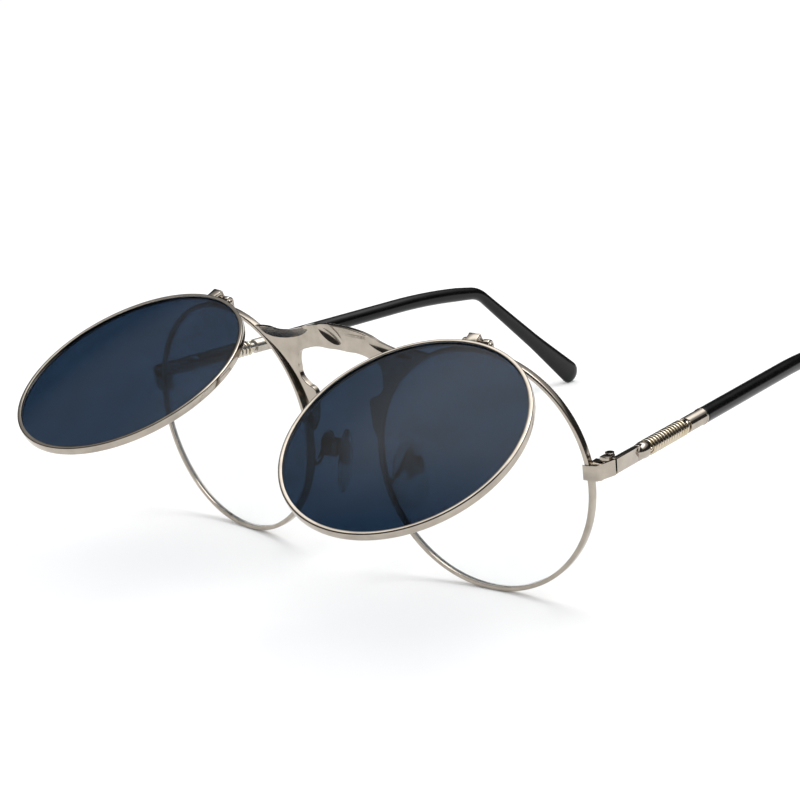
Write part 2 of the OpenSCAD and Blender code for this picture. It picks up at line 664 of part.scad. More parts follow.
module temple_shank() {
    core_end = tip_end - core_short;
    core_stations = concat([for (u = tip_stations) if (u < core_end) u], [core_end]);
    color(silver) front_frame() temple_frame() {
        along_y(2 * rod_r, nose_end, shank_start + eps);
        along_y(shank_d, shank_start, shank_start + shank_len + eps);
        along_y(sleeve_d + 0.1, shank_start + shank_len, sleeve_start);
        tube(concat([temple_ring(sleeve_start - 1, core_r, core_r, 8)],
            [for (u = core_stations) temple_ring(u, core_r, core_r, 8)]));
    }
}
module temple_tip() {
    bore_r = core_r + core_clear;
    bore_end = tip_end - core_short + core_clear;
    bore_stations = concat([for (u = tip_stations) if (u < bore_end) u], [bore_end]);
    color(black) front_frame() temple_frame() difference() {
        tube(tip_rings);
        tube(concat([temple_ring(sleeve_start - 1, bore_r, bore_r, 8)],
            [for (u = bore_stations) temple_ring(u, bore_r, bore_r, 8)]));
    }
}

// Coil: [along the temple, round the coil, heading from straight along], as if it were unrolled
coil_round = 2 * PI * coil_r;
coil_turn_angle = 90 - coil_slope;
coil_arc_round = coil_bend_r * (1 - sin(coil_slope));
coil_rings_per_turn = 8;
coil_first = concat([[0, 0, 0]], [for (i = [0:3]) let (a = coil_turn_angle * i / 4)
    [coil_wire + coil_bend_r * sin(a), coil_bend_r * (1 - cos(a)), a]]);
coil_last = [for (i = [len(coil_first) - 1:-1:0]) let (p = coil_first[i])
    [coil_len - p[0], 2 * coil_arc_round + coil_turns * coil_round - p[1], p[2]]];
coil_count = coil_turns * coil_rings_per_turn;
coil_path = concat(coil_first, [for (i = [0:coil_count - 1]) let (t = i / coil_rings_per_turn)
    [coil_end_len + t * coil_step, coil_arc_round + t * coil_round, coil_turn_angle]], coil_last);
function coil_point(p) = let (t = p[1] / coil_round * 360) [coil_r * cos(t), p[0], coil_r * sin(t)];
function coil_ring(p) =
    let (t = p[1] / coil_round * 360, out = [cos(t), 0, sin(t)],
         side = cos(p[2]) * [-sin(t), 0, cos(t)] - sin(p[2]) * [0, 1, 0])
    [for (i = [0:5]) coil_point(p) + coil_wire / 2 * (cos(60 * i) * out + sin(60 * i) * side)];
coil_near = min([for (i = [0:len(coil_path) - 7]) for (j = [i + 6:len(coil_path) - 1])
    norm(coil_point(coil_path[i]) - coil_point(coil_path[j]))]);
echo(str("Least gap between the coil's turns, mm: ", coil_near - coil_wire));
module coil() {
    color(gold) front_frame() temple_frame() translate([0, nose_end, 0])
        tube([for (p = coil_path) coil_ring(p)]);
}

// Nose pads
arm_root = at_rim([-asin(arm_root_drop / eye_out_r), -rim_wall / 2 / leg_w]);
function pad_to_front(p) =
    let (s = sin(pad_lean), c = cos(pad_lean)) [pad_x, pad_y, -pad_drop]
        + turn_z(-pad_turn) * [p[0] * c - p[2] * s, p[1], p[0] * s + p[2] * c];
module pad_arm() {
    root_y = (arm_root[0] - lens_x) * tan(wrap) + rim_back / cos(wrap);
    box_top = pad_to_front([0, 0, box_h / 2]);
    root = [arm_root[0], root_y, arm_root[1]];
    bow = root + arm_reach * [0.09, 1, 0.44];
    top = [box_top[0], box_top[1] - arm_wire / 4, arm_rise - arm_wire / 3 - pad_drop];
    route = concat([root], smooth([root + arm_wire * [-sin(wrap), cos(wrap), 0], bow,
        top + arm_reach * [0.06, -0.4, -0.06], top, box_top + [0, 0, arm_wire / 4],
        box_top - [0, 0, arm_wire / 10]], 4));
    sides = 8;
    color(silver) front_frame() {
        tube([for (i = [0:len(route) - 1])
            let (d = route[min(i + 1, len(route) - 1)] - route[max(i - 1, 0)],
                 along = d / norm(d), across = cross(along, [1, 0, 0]) / norm(cross(along, [1, 0, 0])),
                 third = cross(along, across))
            [for (k = [0:sides - 1]) route[i]
                + arm_wire / 2 * (cos(360 * k / sides) * third + sin(360 * k / sides) * across)]]);
        pad_frame() difference() {
            translate([-box_depth / 2, -box_w / 2, -box_h / 2]) cube([box_depth, box_w, box_h]);
            translate([-box_depth, box_wall - box_w / 2, box_wall - box_h / 2])
                cube([1.5 * box_depth - box_wall, box_w - 2 * box_wall, box_h - 2 * box_wall]);
            facing() cylinder(d = pad_screw_d + 2 * fixed_clear, h = 2 * box_w, center = true, $fn = 48);
        }
    }
}
module pad_screw() {
    color(silver) front_frame() pad_frame() {
        facing() cylinder(d = pad_screw_d, h = box_w, center = true, $fn = 48);
        translate([0, box_w / 2, 0]) rotate([-90, 0, 0]) slotted_head(2 * pad_screw_d);
    }
}
module pad_stem() {
    color(silver) front_frame() pad_frame() difference() {
        union() {
            facing() cylinder(d = pad_eye_d, h = pad_eye_t, center = true, $fn = 48);
            along_x(pad_stem_d, -pad_reach, 0);
        }
        facing() cylinder(d = pad_screw_d + 2 * run_clear, h = 2 * box_w, center = true, $fn = 48);
    }
}
module nose_pad() {
    rise = pad_t - pad_edge_t;
    crown_r = (pow(pad_len / 2, 2) + rise * rise) / (2 * rise);
    color([0.85, 0.88, 0.88, 0.6]) front_frame() pad_frame() translate([-pad_reach, 0, -pad_hang])
        intersection() {
            rotate([0, -90, 0]) linear_extrude(pad_t) polygon([for (i = [0:35]) let (t = 10 * i)
                [pad_len / 2 * cos(t), pad_w / 2 * sin(t) * (1 - 0.12 * cos(t))]]);
            translate([crown_r - pad_t, 0, 0]) sphere(r = crown_r, $fn = 240);
        }
}

eye_rim();  // left_eye_rim
on_right() eye_rim();  // right_eye_rim
clear_lens();  // left_clear_lens
on_right() clear_lens();  // right_clear_lens
bridge();
end_piece();  // left_end_piece
on_right() end_piece();  // right_end_piece
rim_lock();  // left_rim_lock
on_right() rim_lock();  // right_rim_lock
lock_screw();  // left_lock_screw
on_right() lock_screw();  // right_lock_screw
hinge_screw();  // left_hinge_screw
on_right() hinge_screw();  // right_hinge_screw
flip_bracket();  // left_flip_bracket
on_right() flip_bracket();  // right_flip_bracket
flip_pin();  // left_flip_pin
on_right() flip_pin();  // right_flip_pin
pad_arm();  // left_pad_arm
on_right() pad_arm();  // right_pad_arm
pad_screw();  // left_pad_screw
on_right() pad_screw();  // right_pad_screw
flip_rim(left_raise);  // left_flip_rim
on_right() flip_rim(right_raise);  // right_flip_rim
tinted_lens(left_raise);  // left_tinted_lens
on_right() tinted_lens(right_raise);  // right_tinted_lens
flip_arm(left_raise);  // left_flip_arm
on_right() flip_arm(right_raise);  // right_flip_arm
temple_bar();  // left_temple_bar
on_right() temple_bar();  // right_temple_bar
temple_shank();  // left_temple_shank
on_right() temple_shank();  // right_temple_shank
coil();  // left_coil
on_right() coil();  // right_coil
temple_tip();  // left_temple_tip
on_right() temple_tip();  // right_temple_tip
nose_pad();  // left_nose_pad
on_right() nose_pad();  // right_nose_pad
pad_stem();  // left_pad_stem
on_right() pad_stem();  // right_pad_stem
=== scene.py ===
# %% [markdown]
# # Round flip-up sunglasses
# These glasses have two pairs of round wire rims. The rear pair holds clear lenses. The front pair
# holds dark lenses and lifts on small hinges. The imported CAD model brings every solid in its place,
# in metres, and this script dresses it: most parts are made again with the smooth, slightly rounded
# edges that polishing leaves, because a mirror finish shows each flat facet.

# %% Load the model
import math

import bmesh
import bpy
from mathutils import Matrix, Vector


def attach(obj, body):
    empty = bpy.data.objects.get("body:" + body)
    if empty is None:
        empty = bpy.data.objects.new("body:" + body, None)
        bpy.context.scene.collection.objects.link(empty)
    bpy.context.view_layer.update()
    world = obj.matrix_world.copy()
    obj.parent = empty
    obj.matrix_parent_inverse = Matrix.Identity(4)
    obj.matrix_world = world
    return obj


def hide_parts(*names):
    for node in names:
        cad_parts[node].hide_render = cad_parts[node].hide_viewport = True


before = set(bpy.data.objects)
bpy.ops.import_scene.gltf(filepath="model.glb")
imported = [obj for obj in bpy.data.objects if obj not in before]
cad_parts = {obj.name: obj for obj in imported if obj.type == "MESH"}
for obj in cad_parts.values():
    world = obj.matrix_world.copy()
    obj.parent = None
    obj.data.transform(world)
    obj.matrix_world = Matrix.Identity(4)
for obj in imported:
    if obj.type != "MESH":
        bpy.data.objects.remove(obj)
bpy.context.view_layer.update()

# %% [markdown]
# Every part of the glasses is easiest to describe in its own small frame, in millimetres: a rim
# around its lens, a temple along its length, a nose pad around its screw. A 4 by 4 matrix carries
# such a frame into place. The turns and distances are those of the CAD model, so that each new
# piece lands exactly on the solid that it stands for. Frames named FLAT belong to the upright front,
# before it leans back on the table. The right half is the left one mirrored.

# %% Frames in millimetres
def turn(degrees, axis):
    return Matrix.Rotation(math.radians(degrees), 4, axis)


def move(x, y, z):
    return Matrix.Translation((x, y, z))


SIDES = {"left": Matrix.Scale(0.001, 4),
         "right": Matrix.Scale(0.001, 4) @ Matrix.Scale(-1, 4, (1, 0, 0))}
RAISE = {"left": 62.8, "right": 67.7}              # degrees up from closed
EYE_R, FLIP_R, WALL, DEPTH = 23.8, 24.0, 0.9, 1.65  # inner radii and wire of the rims
EYE_OUT, FLIP_OUT = EYE_R + WALL, FLIP_R + WALL
LENS_X, WRAP, LEAN = 34, 6.2, 3.7                   # half the spacing, turn outwards, lean
HINGE_X, HINGE_UP = 0.8, 0.83                       # flip hinge from the top of the eye rim
AHEAD, BELOW = 1.86, 1.42                           # tinted rim from its hinge, when closed
TEMPLE_Z = 4.4                                      # height of the temples' start

LENS_FLAT = move(LENS_X, 0, 0) @ turn(WRAP, "Z")
TEMPLE_FLAT = move(62.2906, 4.5822, TEMPLE_Z) @ turn(6.8, "Z") @ turn(-2.5, "X")
PAD_FLAT = move(11.4, 4.8, -4.4) @ turn(-25, "Z") @ turn(-8, "Y")
FRONT = move(0, -41.8409, 24.6924) @ turn(LEAN, "X")
LENS, TEMPLE, PAD = FRONT @ LENS_FLAT, FRONT @ TEMPLE_FLAT, FRONT @ PAD_FLAT
HINGE = LENS @ move(HINGE_X, 0, EYE_OUT + HINGE_UP)


def raised(side):
    """The hinge's frame, turned up with the tinted lens."""
    return HINGE @ turn(-RAISE[side], "X")


def flip_lens(side):
    """The middle of the raised tinted lens."""
    return raised(side) @ move(-HINGE_X, -AHEAD, -BELOW - FLIP_OUT)


print("lens centre, mm:", tuple(round(c, 2) for c in LENS.translation))

# %% [markdown]
# Three steps come back all through the script. Some data gets an object in the scene. A bmesh,
# which is Blender's mesh for editing, is written to a mesh that an object can show. And the other
# way round: the shape that a curve or a modifier makes is read back as a bmesh.

# %% Objects and meshes
def new_object(name, data):
    made = bpy.data.objects.new(name, data)
    bpy.context.scene.collection.objects.link(made)
    return made


def new_mesh(name, bm):
    """Writes a bmesh to a new mesh and frees it."""
    made = bpy.data.meshes.new(name)
    bm.to_mesh(made)
    bm.free()
    return made


def final_shape(thing):
    """An object's shape after its bevel or its modifiers, as a bmesh."""
    bpy.context.view_layer.update()
    made = bpy.data.meshes.new_from_object(
        thing.evaluated_get(bpy.context.evaluated_depsgraph_get()))
    bm = bmesh.new()
    bm.from_mesh(made)
    bpy.data.meshes.remove(made)
    return bm


print("steps ready for the scene", bpy.context.scene.name)

# %% [markdown]
# The photograph was taken from the wearer's front left, a little above the glasses. A camera that
# was fitted to the rims, the lenses and the places where the glasses touch the table gives this
# position, direction and focal length. A camera that looks along its own -Z axis is turned by
# the three angles below, in degrees.

# %% Camera
view = bpy.data.cameras.new("camera")
view.lens, view.sensor_width = 112.005, 36
view.clip_start, view.clip_end = 0.01, 20
camera = new_object("camera", view)
camera.location = (0.332056, -0.389823, 0.167515)
camera.rotation_euler = [math.radians(a) for a in (74.37328, 2.73975, 41.76679)]
bpy.context.scene.camera = camera
print("camera stands", round(camera.location.length, 3), "m from the origin")

# %% [markdown]
# Colours are easiest to read off and to write as sRGB hex values, but shaders work in linear
# light, so one function turns the one into the other. Another adds a node with its settings and
# its links. Object coordinates are metres, so a pattern that repeats each millimetre has a noise
# scale of 1000.

# %% Helpers for materials
def linear(hex_code):
    """sRGB hex colour as linear RGBA."""
    parts = [int(hex_code[i:i + 2], 16) / 255 for i in (1, 3, 5)]
    return [c / 12.92 if c <= 0.04045 else ((c + 0.055) / 1.055) ** 2.4 for c in parts] + [1]


def add(tree, kind, values=None, links=None, **settings):
    """A new node: settings on the node, values on its sockets, links from other sockets."""
    made = tree.nodes.new(kind)
    for key, value in settings.items():
        setattr(made, key, value)
    for key, value in (values or {}).items():
        made.inputs[key].default_value = value
    for key, source in (links or {}).items():
        tree.links.new(source, made.inputs[key])
    return made


def new_material(name):
    """A new material, its empty tree, and the Object coordinates in it."""
    made = bpy.data.materials.new(name)
    made.use_nodes = True
    tree = made.node_tree
    tree.nodes.clear()
    place = add(tree, "ShaderNodeTexCoord").outputs["Object"]
    return made, tree, place


def waves(tree, place, mm, detail=2):
    """A soft noise whose lumps are about mm across."""
    return add(tree, "ShaderNodeTexNoise", {"Scale": 1000 / mm, "Detail": detail}, {"Vector": place})


def ramp(tree, source, low, high, start=0.3, stop=0.7):
    """A number that runs from low to high while source runs from start to stop."""
    values = {"From Min": start, "From Max": stop, "To Min": low, "To Max": high}
    return add(tree, "ShaderNodeMapRange", values, {"Value": source}).outputs["Result"]


def drift(tree, noise, first, second):
    """A colour that drifts between two others, as the noise does."""
    share = ramp(tree, noise.outputs["Fac"], 0, 1)
    colours = {"A": linear(first), "B": linear(second)}
    return add(tree, "ShaderNodeMix", colours, {"Factor": share},
               data_type="RGBA").outputs["Result"]


def show(tree, shader):
    """Ends a material with its output."""
    add(tree, "ShaderNodeOutputMaterial", links={"Surface": shader})


print("helpers ready")

# %% [markdown]
# The frame is nickel silver, plated and polished on a wheel. Such a surface is a warm, slightly
# grey mirror. It isn't perfect: the buffing wheel leaves faint waves about 3 mm long, and
# handling leaves places where the gloss is a little softer. Both are drawn, with bumps of a few
# micrometres, so that the reflections run along a part and don't lie on it as on glass.

# %% Polished nickel plating
def polished_metal(name, light, dark, gloss=(0.07, 0.15)):
    made, tree, place = new_material(name)
    wide, fine = waves(tree, place, 3), waves(tree, place, 0.4, 3)
    tone = drift(tree, wide, light, dark)
    rough = ramp(tree, fine.outputs["Fac"], *gloss)
    bump = add(tree, "ShaderNodeBump", {"Strength": 0.12, "Distance": 0.00002},
               {"Height": wide.outputs["Fac"]})
    shader = add(tree, "ShaderNodeBsdfPrincipled", {"Metallic": 1.0},
                 {"Base Color": tone, "Roughness": rough, "Normal": bump.outputs["Normal"]})
    show(tree, shader.outputs["BSDF"])
    return made


nickel = polished_metal("polished_nickel_plating", "#B5ACA0", "#A49B90")
print("made", nickel.name)

# %% [markdown]
# The coil wire got a thin wash of pale gold before it was wound. The wash is thicker in some
# places than in others, so the tint comes and goes over a few millimetres.

# %% Gold-washed wire
gold_wire = polished_metal("gold_washed_steel_wire", "#D0C8BC", "#C0B193", (0.08, 0.16))
print("made", gold_wire.name)

# %% [markdown]
# Lenses are cast resin, polished so smooth that only reflections show. Light can't be traced
# through a lens cheaply, so rays that look for a lamp or gather soft light pass a Transparent
# shader instead, and a lens casts a pale shadow. The dark lenses have a grey-blue dye in the resin,
# a little uneven. Resin has an index of about 1.5, but a thin coat takes away half or more of the
# mirror image, and a lower index stands for that here.

# %% Lens resin
def show_clear(tree, body, shade):
    """Ends a see-through material: lamp and soft light pass it with the colour shade."""
    path = add(tree, "ShaderNodeLightPath")
    soft = add(tree, "ShaderNodeMath", links={0: path.outputs["Is Shadow Ray"],
                                              1: path.outputs["Is Diffuse Ray"]},
               operation="MAXIMUM")
    passing = add(tree, "ShaderNodeBsdfTransparent", {"Color": linear(shade)})
    both = add(tree, "ShaderNodeMixShader", links={0: soft.outputs[0], 1: body.outputs["BSDF"],
                                                   2: passing.outputs["BSDF"]})
    show(tree, both.outputs["Shader"])


def lens_resin(name, tint, deeper, shade, index):
    made, tree, place = new_material(name)
    tone = drift(tree, waves(tree, place, 9), tint, deeper)
    rough = ramp(tree, waves(tree, place, 1.5, 3).outputs["Fac"], 0.0, 0.004)
    body = add(tree, "ShaderNodeBsdfPrincipled", {"Transmission Weight": 1.0, "IOR": index},
               {"Base Color": tone, "Roughness": rough})
    show_clear(tree, body, shade)
    return made


clear_resin = lens_resin("clear_lens_resin", "#FCFDFD", "#F8FAFA", "#F4F4F4", 1.3)
dark_resin = lens_resin("blue_grey_lens_resin", "#1D2F43", "#1A2A3C", "#E4E6E9", 1.22)
print("made", clear_resin.name, dark_resin.name)

# %% [markdown]
# The temple tips are cellulose acetate, moulded over the metal core and tumbled until they
# shine. Acetate is nearly black here, with a very faint mottle, and its gloss is soft enough to
# blur a reflection a little.

# %% Black acetate
def black_acetate(name):
    made, tree, place = new_material(name)
    mottle = waves(tree, place, 4, 4)
    tone = drift(tree, mottle, "#040405", "#0A0A0B")
    rough = ramp(tree, waves(tree, place, 0.8, 3).outputs["Fac"], 0.14, 0.24)
    bump = add(tree, "ShaderNodeBump", {"Strength": 0.1, "Distance": 0.00003},
               {"Height": mottle.outputs["Fac"]})
    shader = add(tree, "ShaderNodeBsdfPrincipled", {"IOR": 1.48, "Specular IOR Level": 0.28},
                 {"Base Color": tone, "Roughness": rough, "Normal": bump.outputs["Normal"]})
    show(tree, shader.outputs["BSDF"])
    return made


acetate = black_acetate("tumbled_black_acetate")
print("made", acetate.name)

# %% [markdown]
# Nose pads are soft silicone, moulded in a polished mould. They are clear with a slight milky
# cloud, so they pass light but blur it.

# %% Silicone
def silicone(name):
    made, tree, place = new_material(name)
    cloud = waves(tree, place, 2.5, 3)
    tone = drift(tree, cloud, "#F4F6F5", "#E6EAE9")
    rough = ramp(tree, cloud.outputs["Fac"], 0.06, 0.14)
    body = add(tree, "ShaderNodeBsdfPrincipled", {"Transmission Weight": 0.96, "IOR": 1.41},
               {"Base Color": tone, "Roughness": rough})
    show_clear(tree, body, "#E8EBEA")
    return made


soft_silicone = silicone("clear_moulded_silicone")
print("made", soft_silicone.name)

# %% [markdown]
# The small fasteners keep their CAD solids: pins, screws, and the two blocks that clamp each rim.
# They get the polished metal in their material slots. Their meshes stay untouched.

# %% Small CAD parts
kept = [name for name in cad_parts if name.endswith(("_pin", "_screw", "_lock"))]
for name in kept:
    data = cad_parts[name].data
    data.materials.clear()
    data.materials.append(nickel)
print("fasteners kept from CAD:", len(kept))

# %% [markdown]
# Each new piece goes through the same last steps: its doubled points are merged, it is carried
# into place, its faces are turned outwards (a mirrored shape is inside out until then), and it is
# shaded smooth except where two faces meet at a clear angle. It then rides on its body and
# replaces its CAD node.

# %% Finishing a piece
SAME = 0.001  # points nearer than this, in millimetres, are one


def finish_piece(name, bm, place, body, node, material, crease=38):
    bmesh.ops.remove_doubles(bm, verts=bm.verts, dist=SAME)
    bmesh.ops.transform(bm, matrix=place, verts=bm.verts)
    bmesh.ops.recalc_face_normals(bm, faces=bm.faces)
    open_edges = sum(1 for e in bm.edges if not e.is_manifold)
    mesh = new_mesh(name, bm)
    mesh.shade_smooth()
    mesh.set_sharp_from_angle(angle=math.radians(crease))
    mesh.materials.append(material)
    piece = new_object(name, mesh)
    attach(piece, body)
    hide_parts(node)
    print(name, "faces", len(mesh.polygons), "open edges", open_edges)


def chain(bm, points, closed=True):
    """A few vertices joined by edges, as the section that a spin turns."""
    verts = [bm.verts.new(p) for p in points]
    ends = verts[1:] + verts[:1] if closed else verts[1:]
    return [bm.edges.new(pair) for pair in zip(verts, ends)]


def spin_round(bm, edges, axis, degrees=360, steps=144):
    """Turns a section about an axis through the origin."""
    verts = list({v for e in edges for v in e.verts})
    bmesh.ops.spin(bm, geom=verts + edges, cent=(0, 0, 0), axis=axis, dvec=(0, 0, 0),
                   angle=math.radians(degrees), steps=steps, use_merge=degrees == 360,
                   use_normal_flip=False, use_duplicate=False)


def round_edges(bm, edges, size, segments=3):
    bmesh.ops.bevel(bm, geom=list(edges), offset=size, offset_type="OFFSET", segments=segments,
                    profile=0.5, affect="EDGES", clamp_overlap=True, material=-1)


# %% [markdown]
# A rim is a wire of 0.9 by 1.65 mm with a V groove inside, bent into a circle. So its section is
# drawn once and spun about the lens's axis, which is Y here. The outer corners are rounded after
# the spin, because a bevel runs neatly along whole loops. The eye rim is cut where the end
# piece's lock clamps it, so its spin stops just short of a full turn and both ends are closed.

# %% Rims
GROOVE, SLIT = 0.4, 0.3  # depth of the V and half its mouth, gap of the cut
CASTING_Z = 3.1          # the height of the cut, and of the middle of the end piece
NEAR = 0.01              # tolerance for finding edges by their place
OUTER_ROUND, INNER_ROUND = 0.26, 0.12


def close_ends(bm):
    bmesh.ops.edgeloop_fill(bm, edges=[e for e in bm.edges if e.is_boundary])


def rim_mesh(inner, slit_at=None):
    """A rim about the Y axis, cut open at the height slit_at."""
    bm = bmesh.new()
    half = DEPTH / 2
    section = [(inner, -half), (inner + WALL, -half), (inner + WALL, half), (inner, half),
               (inner, GROOVE), (inner + GROOVE, 0), (inner, -GROOVE)]
    edges = chain(bm, [(x, y, 0) for x, y in section])
    if slit_at is None:
        spin_round(bm, edges, (0, 1, 0))
    else:
        gap = math.degrees(SLIT / inner)
        start = math.degrees(math.asin(slit_at / inner)) + gap / 2
        bmesh.ops.rotate(bm, verts=bm.verts, matrix=Matrix.Rotation(-math.radians(start), 3, "Y"))
        spin_round(bm, edges, (0, 1, 0), -(360 - gap))
        close_ends(bm)
    bmesh.ops.remove_doubles(bm, verts=bm.verts, dist=SAME)
    bmesh.ops.recalc_face_normals(bm, faces=bm.faces)

    def runs_round(edge, radius):
        """Whether an edge lies along a circle of this radius."""
        level = abs(edge.verts[0].co.y - edge.verts[1].co.y) < SAME
        return level and all(abs(v.co.xz.length - radius) < NEAR for v in edge.verts)

    outer = [e for e in bm.edges if runs_round(e, inner + WALL)]
    round_edges(bm, outer, OUTER_ROUND, 4)
    inner_edges = [e for e in bm.edges if runs_round(e, inner)
                   and abs(abs(e.verts[0].co.y) - half) < NEAR]
    round_edges(bm, inner_edges, INNER_ROUND, 2)
    return bm


for side, mirror in SIDES.items():
    finish_piece(side + "_eye_rim_wire", rim_mesh(EYE_R, CASTING_Z), mirror @ LENS, "front",
                 side + "_eye_rim", nickel)
    finish_piece(side + "_flip_rim_wire", rim_mesh(FLIP_R), mirror @ flip_lens(side),
                 side + "_flip", side + "_flip_rim", nickel)

# %% [markdown]
# Each lens is a thin round shell, domed to a radius of 265 mm, with a V edge that sits in the
# groove. Its half section is a line of points from the axis over the front face, round the edge
# and back to the axis, and a full spin makes the shell. The spin leaves one point per step at
# each pole, and merging doubles closes them.

# %% Lenses
DOME_R, LENS_HALF = 265.0, 0.5             # radius of the dome, half the thickness
PLAY, BITE, BEVEL_HALF = 0.06, 0.34, 0.37  # gap in the rim, reach into its groove, half the V


def dome(radius):
    return (DOME_R ** 2 - radius ** 2) ** 0.5


def lens_mesh(rim_inner):
    bm = bmesh.new()
    face, edge = rim_inner - PLAY, rim_inner + BITE
    radii = [face * i / 10 for i in range(11)]
    rise = [(r, dome(r) - dome(face)) for r in radii]
    front = [(r, -h - LENS_HALF, 0) for r, h in rise]
    back = [(r, -h + LENS_HALF, 0) for r, h in reversed(rise)]
    bevel = [(face, -BEVEL_HALF, 0), (edge, 0, 0), (face, BEVEL_HALF, 0)]
    edges = chain(bm, front + bevel + back, False)
    spin_round(bm, edges, (0, 1, 0), steps=128)
    return bm


for side, mirror in SIDES.items():
    finish_piece(side + "_clear_lens_shell", lens_mesh(EYE_R), mirror @ LENS, "front",
                 side + "_clear_lens", clear_resin, 25)
    finish_piece(side + "_tinted_lens_shell", lens_mesh(FLIP_R), mirror @ flip_lens(side),
                 side + "_flip", side + "_tinted_lens", dark_resin, 25)

# %% [markdown]
# Blocks with rounded edges and short barrels come up in every hinge. A cube or a cone from
# bmesh.ops is made at its size straight away through its matrix, and then its edges are rounded.
# On a real casting these edges are softened by tumbling, and they catch a thin line of light.

# %% Blocks and barrels
def block(bm, low, high, edge, segments=3):
    """A box from the corner low to the corner high, with its edges rounded by edge."""
    size = [b - a for a, b in zip(low, high)]
    middle = [(a + b) / 2 for a, b in zip(low, high)]
    place = move(*middle) @ Matrix.Diagonal((*size, 1))
    made = bmesh.ops.create_cube(bm, size=1, matrix=place)["verts"]
    round_edges(bm, {e for v in made for e in v.link_edges}, edge, segments)


def barrel(bm, place, radius, length, edge, sides=48):
    """A round bar about the Z axis of place, with rounded ends."""
    made = bmesh.ops.create_cone(bm, cap_ends=True, cap_tris=False, segments=sides,
                                 radius1=radius, radius2=radius, depth=length, matrix=place)
    ends = {e for v in made["verts"] for e in v.link_edges
            if any(len(f.verts) > 4 for f in e.link_faces)}
    round_edges(bm, ends, edge)


ALONG_X, ALONG_Y = turn(90, "Y"), turn(90, "X")

# %% [markdown]
# The flip hinge has two knuckles soldered to the top of the eye rim and a third between them,
# whose arm reaches forward and down to the tinted lens's rim. Solder leaves a small smooth
# fillet at each foot, which is a flattened ball here.

# %% Flip hinges
KNUCKLE_X, KNUCKLE_R, KNUCKLE = 2.23, 1.25, 1.7  # place, radius and length of an outer knuckle
SOLDER_X, SOLDER_Z, SOLDER = 3.35, -0.91, (1.0, 0.62, 0.42, 1)  # place and half sizes
LINK_R, LINK, LINK_TOP, STRIP = 0.65, 2.6, 0.75, 1.2  # middle knuckle, and its arm's thickness


def bracket_mesh():
    bm = bmesh.new()
    for sign in (-1, 1):
        x = sign * KNUCKLE_X
        barrel(bm, move(x, 0, 0) @ ALONG_X, KNUCKLE_R, KNUCKLE, 0.3)
        block(bm, (x - KNUCKLE / 2, -0.8, -1.23), (x + KNUCKLE / 2, 1.2, -0.1), 0.18)
        foot = move(sign * SOLDER_X - 0.02, 0, SOLDER_Z) @ turn(sign * 6, "Y")
        bmesh.ops.create_uvsphere(bm, u_segments=24, v_segments=12, radius=1,
                                  matrix=foot @ Matrix.Diagonal(SOLDER))
    return bm


def flip_arm_mesh():
    bm = bmesh.new()
    side, front, back = LINK / 2, -AHEAD - STRIP / 2, -AHEAD + STRIP / 2
    barrel(bm, ALONG_X, LINK_R, LINK, 0.15)
    block(bm, (-side, front, 0.1), (side, -0.2, LINK_TOP), 0.15)
    block(bm, (-side, front, -BELOW - 0.3), (side, back, LINK_TOP), 0.2)
    return bm


for side, mirror in SIDES.items():
    finish_piece(side + "_flip_knuckles", bracket_mesh(), mirror @ HINGE, "front",
                 side + "_flip_bracket", nickel, 50)
    finish_piece(side + "_flip_link", flip_arm_mesh(), mirror @ raised(side), side + "_flip",
                 side + "_flip_arm", nickel, 50)

# %% [markdown]
# The bridge is a flat plate with hollows milled into its front. Its outline goes through a few
# points of the front's plane. Where the plate meets a rim, the points are given round the rim: an
# angle and a distance outside it. One half is given, and the other is its mirror image.

# %% Bridge outline
def at_rim(angle, outside):
    """A point of the front's plane, outside the nose side of the left eye rim."""
    a = math.radians(angle)
    return (LENS_X - math.cos(math.radians(WRAP)) * (EYE_OUT + outside) * math.cos(a),
            (EYE_OUT + outside) * math.sin(a))


INSIDE = -0.4  # the plate first reaches this far into the rim, where a cut trims it
crest = [(5.0, 24.95), (8.5, 24.25), (11.5, 23.15), at_rim(52.5, 3.3), at_rim(58, 1.85)]
rim_side = [at_rim(a, INSIDE) for a in (66, 55, 44, 33, 22, 12, 1.8)]
leg = [at_rim(*p) for p in ((10, 2.1), (17.6, 3.4), (21, 4), (23.2, 3.7), (24.8, 2.9),
                            (27.8, 2.1), (30.8, 1.9), (33.5, 2.5), (37, 3.7), (38.4, 4.9))]
arch = [(8.6, 19.5), (5.5, 20.2), (2.5, 20.2)]
left_half = crest + rim_side + leg + arch
outline = [(0, 25.25)] + left_half + [(0, 20.3)] + [(-x, z) for x, z in reversed(left_half)]
corners = {rim_side[0], rim_side[-1]}
print("bridge outline points:", len(outline))

# %% [markdown]
# A filled curve with automatic handles draws the smooth outline through those points, and its own
# bevel rounds the edges. Straight handles keep the two sharp corners where the plate ends on a rim.
# The final shape of the curve is then read back as a bmesh, so that it can be cut.

# %% Bridge plate
PLATE, PLATE_Y, PLATE_ROUND = 1.2, -1.6, 0.16  # thickness, middle plane and rounding


def curve_mesh(data, place):
    """A curve's mesh, carried by place, as a bmesh. The curve itself is removed."""
    drawn = new_object("drawn", data)
    bm = final_shape(drawn)
    bmesh.ops.transform(bm, matrix=place, verts=bm.verts)
    bmesh.ops.remove_doubles(bm, verts=bm.verts, dist=SAME / 2)
    bmesh.ops.recalc_face_normals(bm, faces=bm.faces)
    bpy.data.objects.remove(drawn)
    bpy.data.curves.remove(data)
    return bm


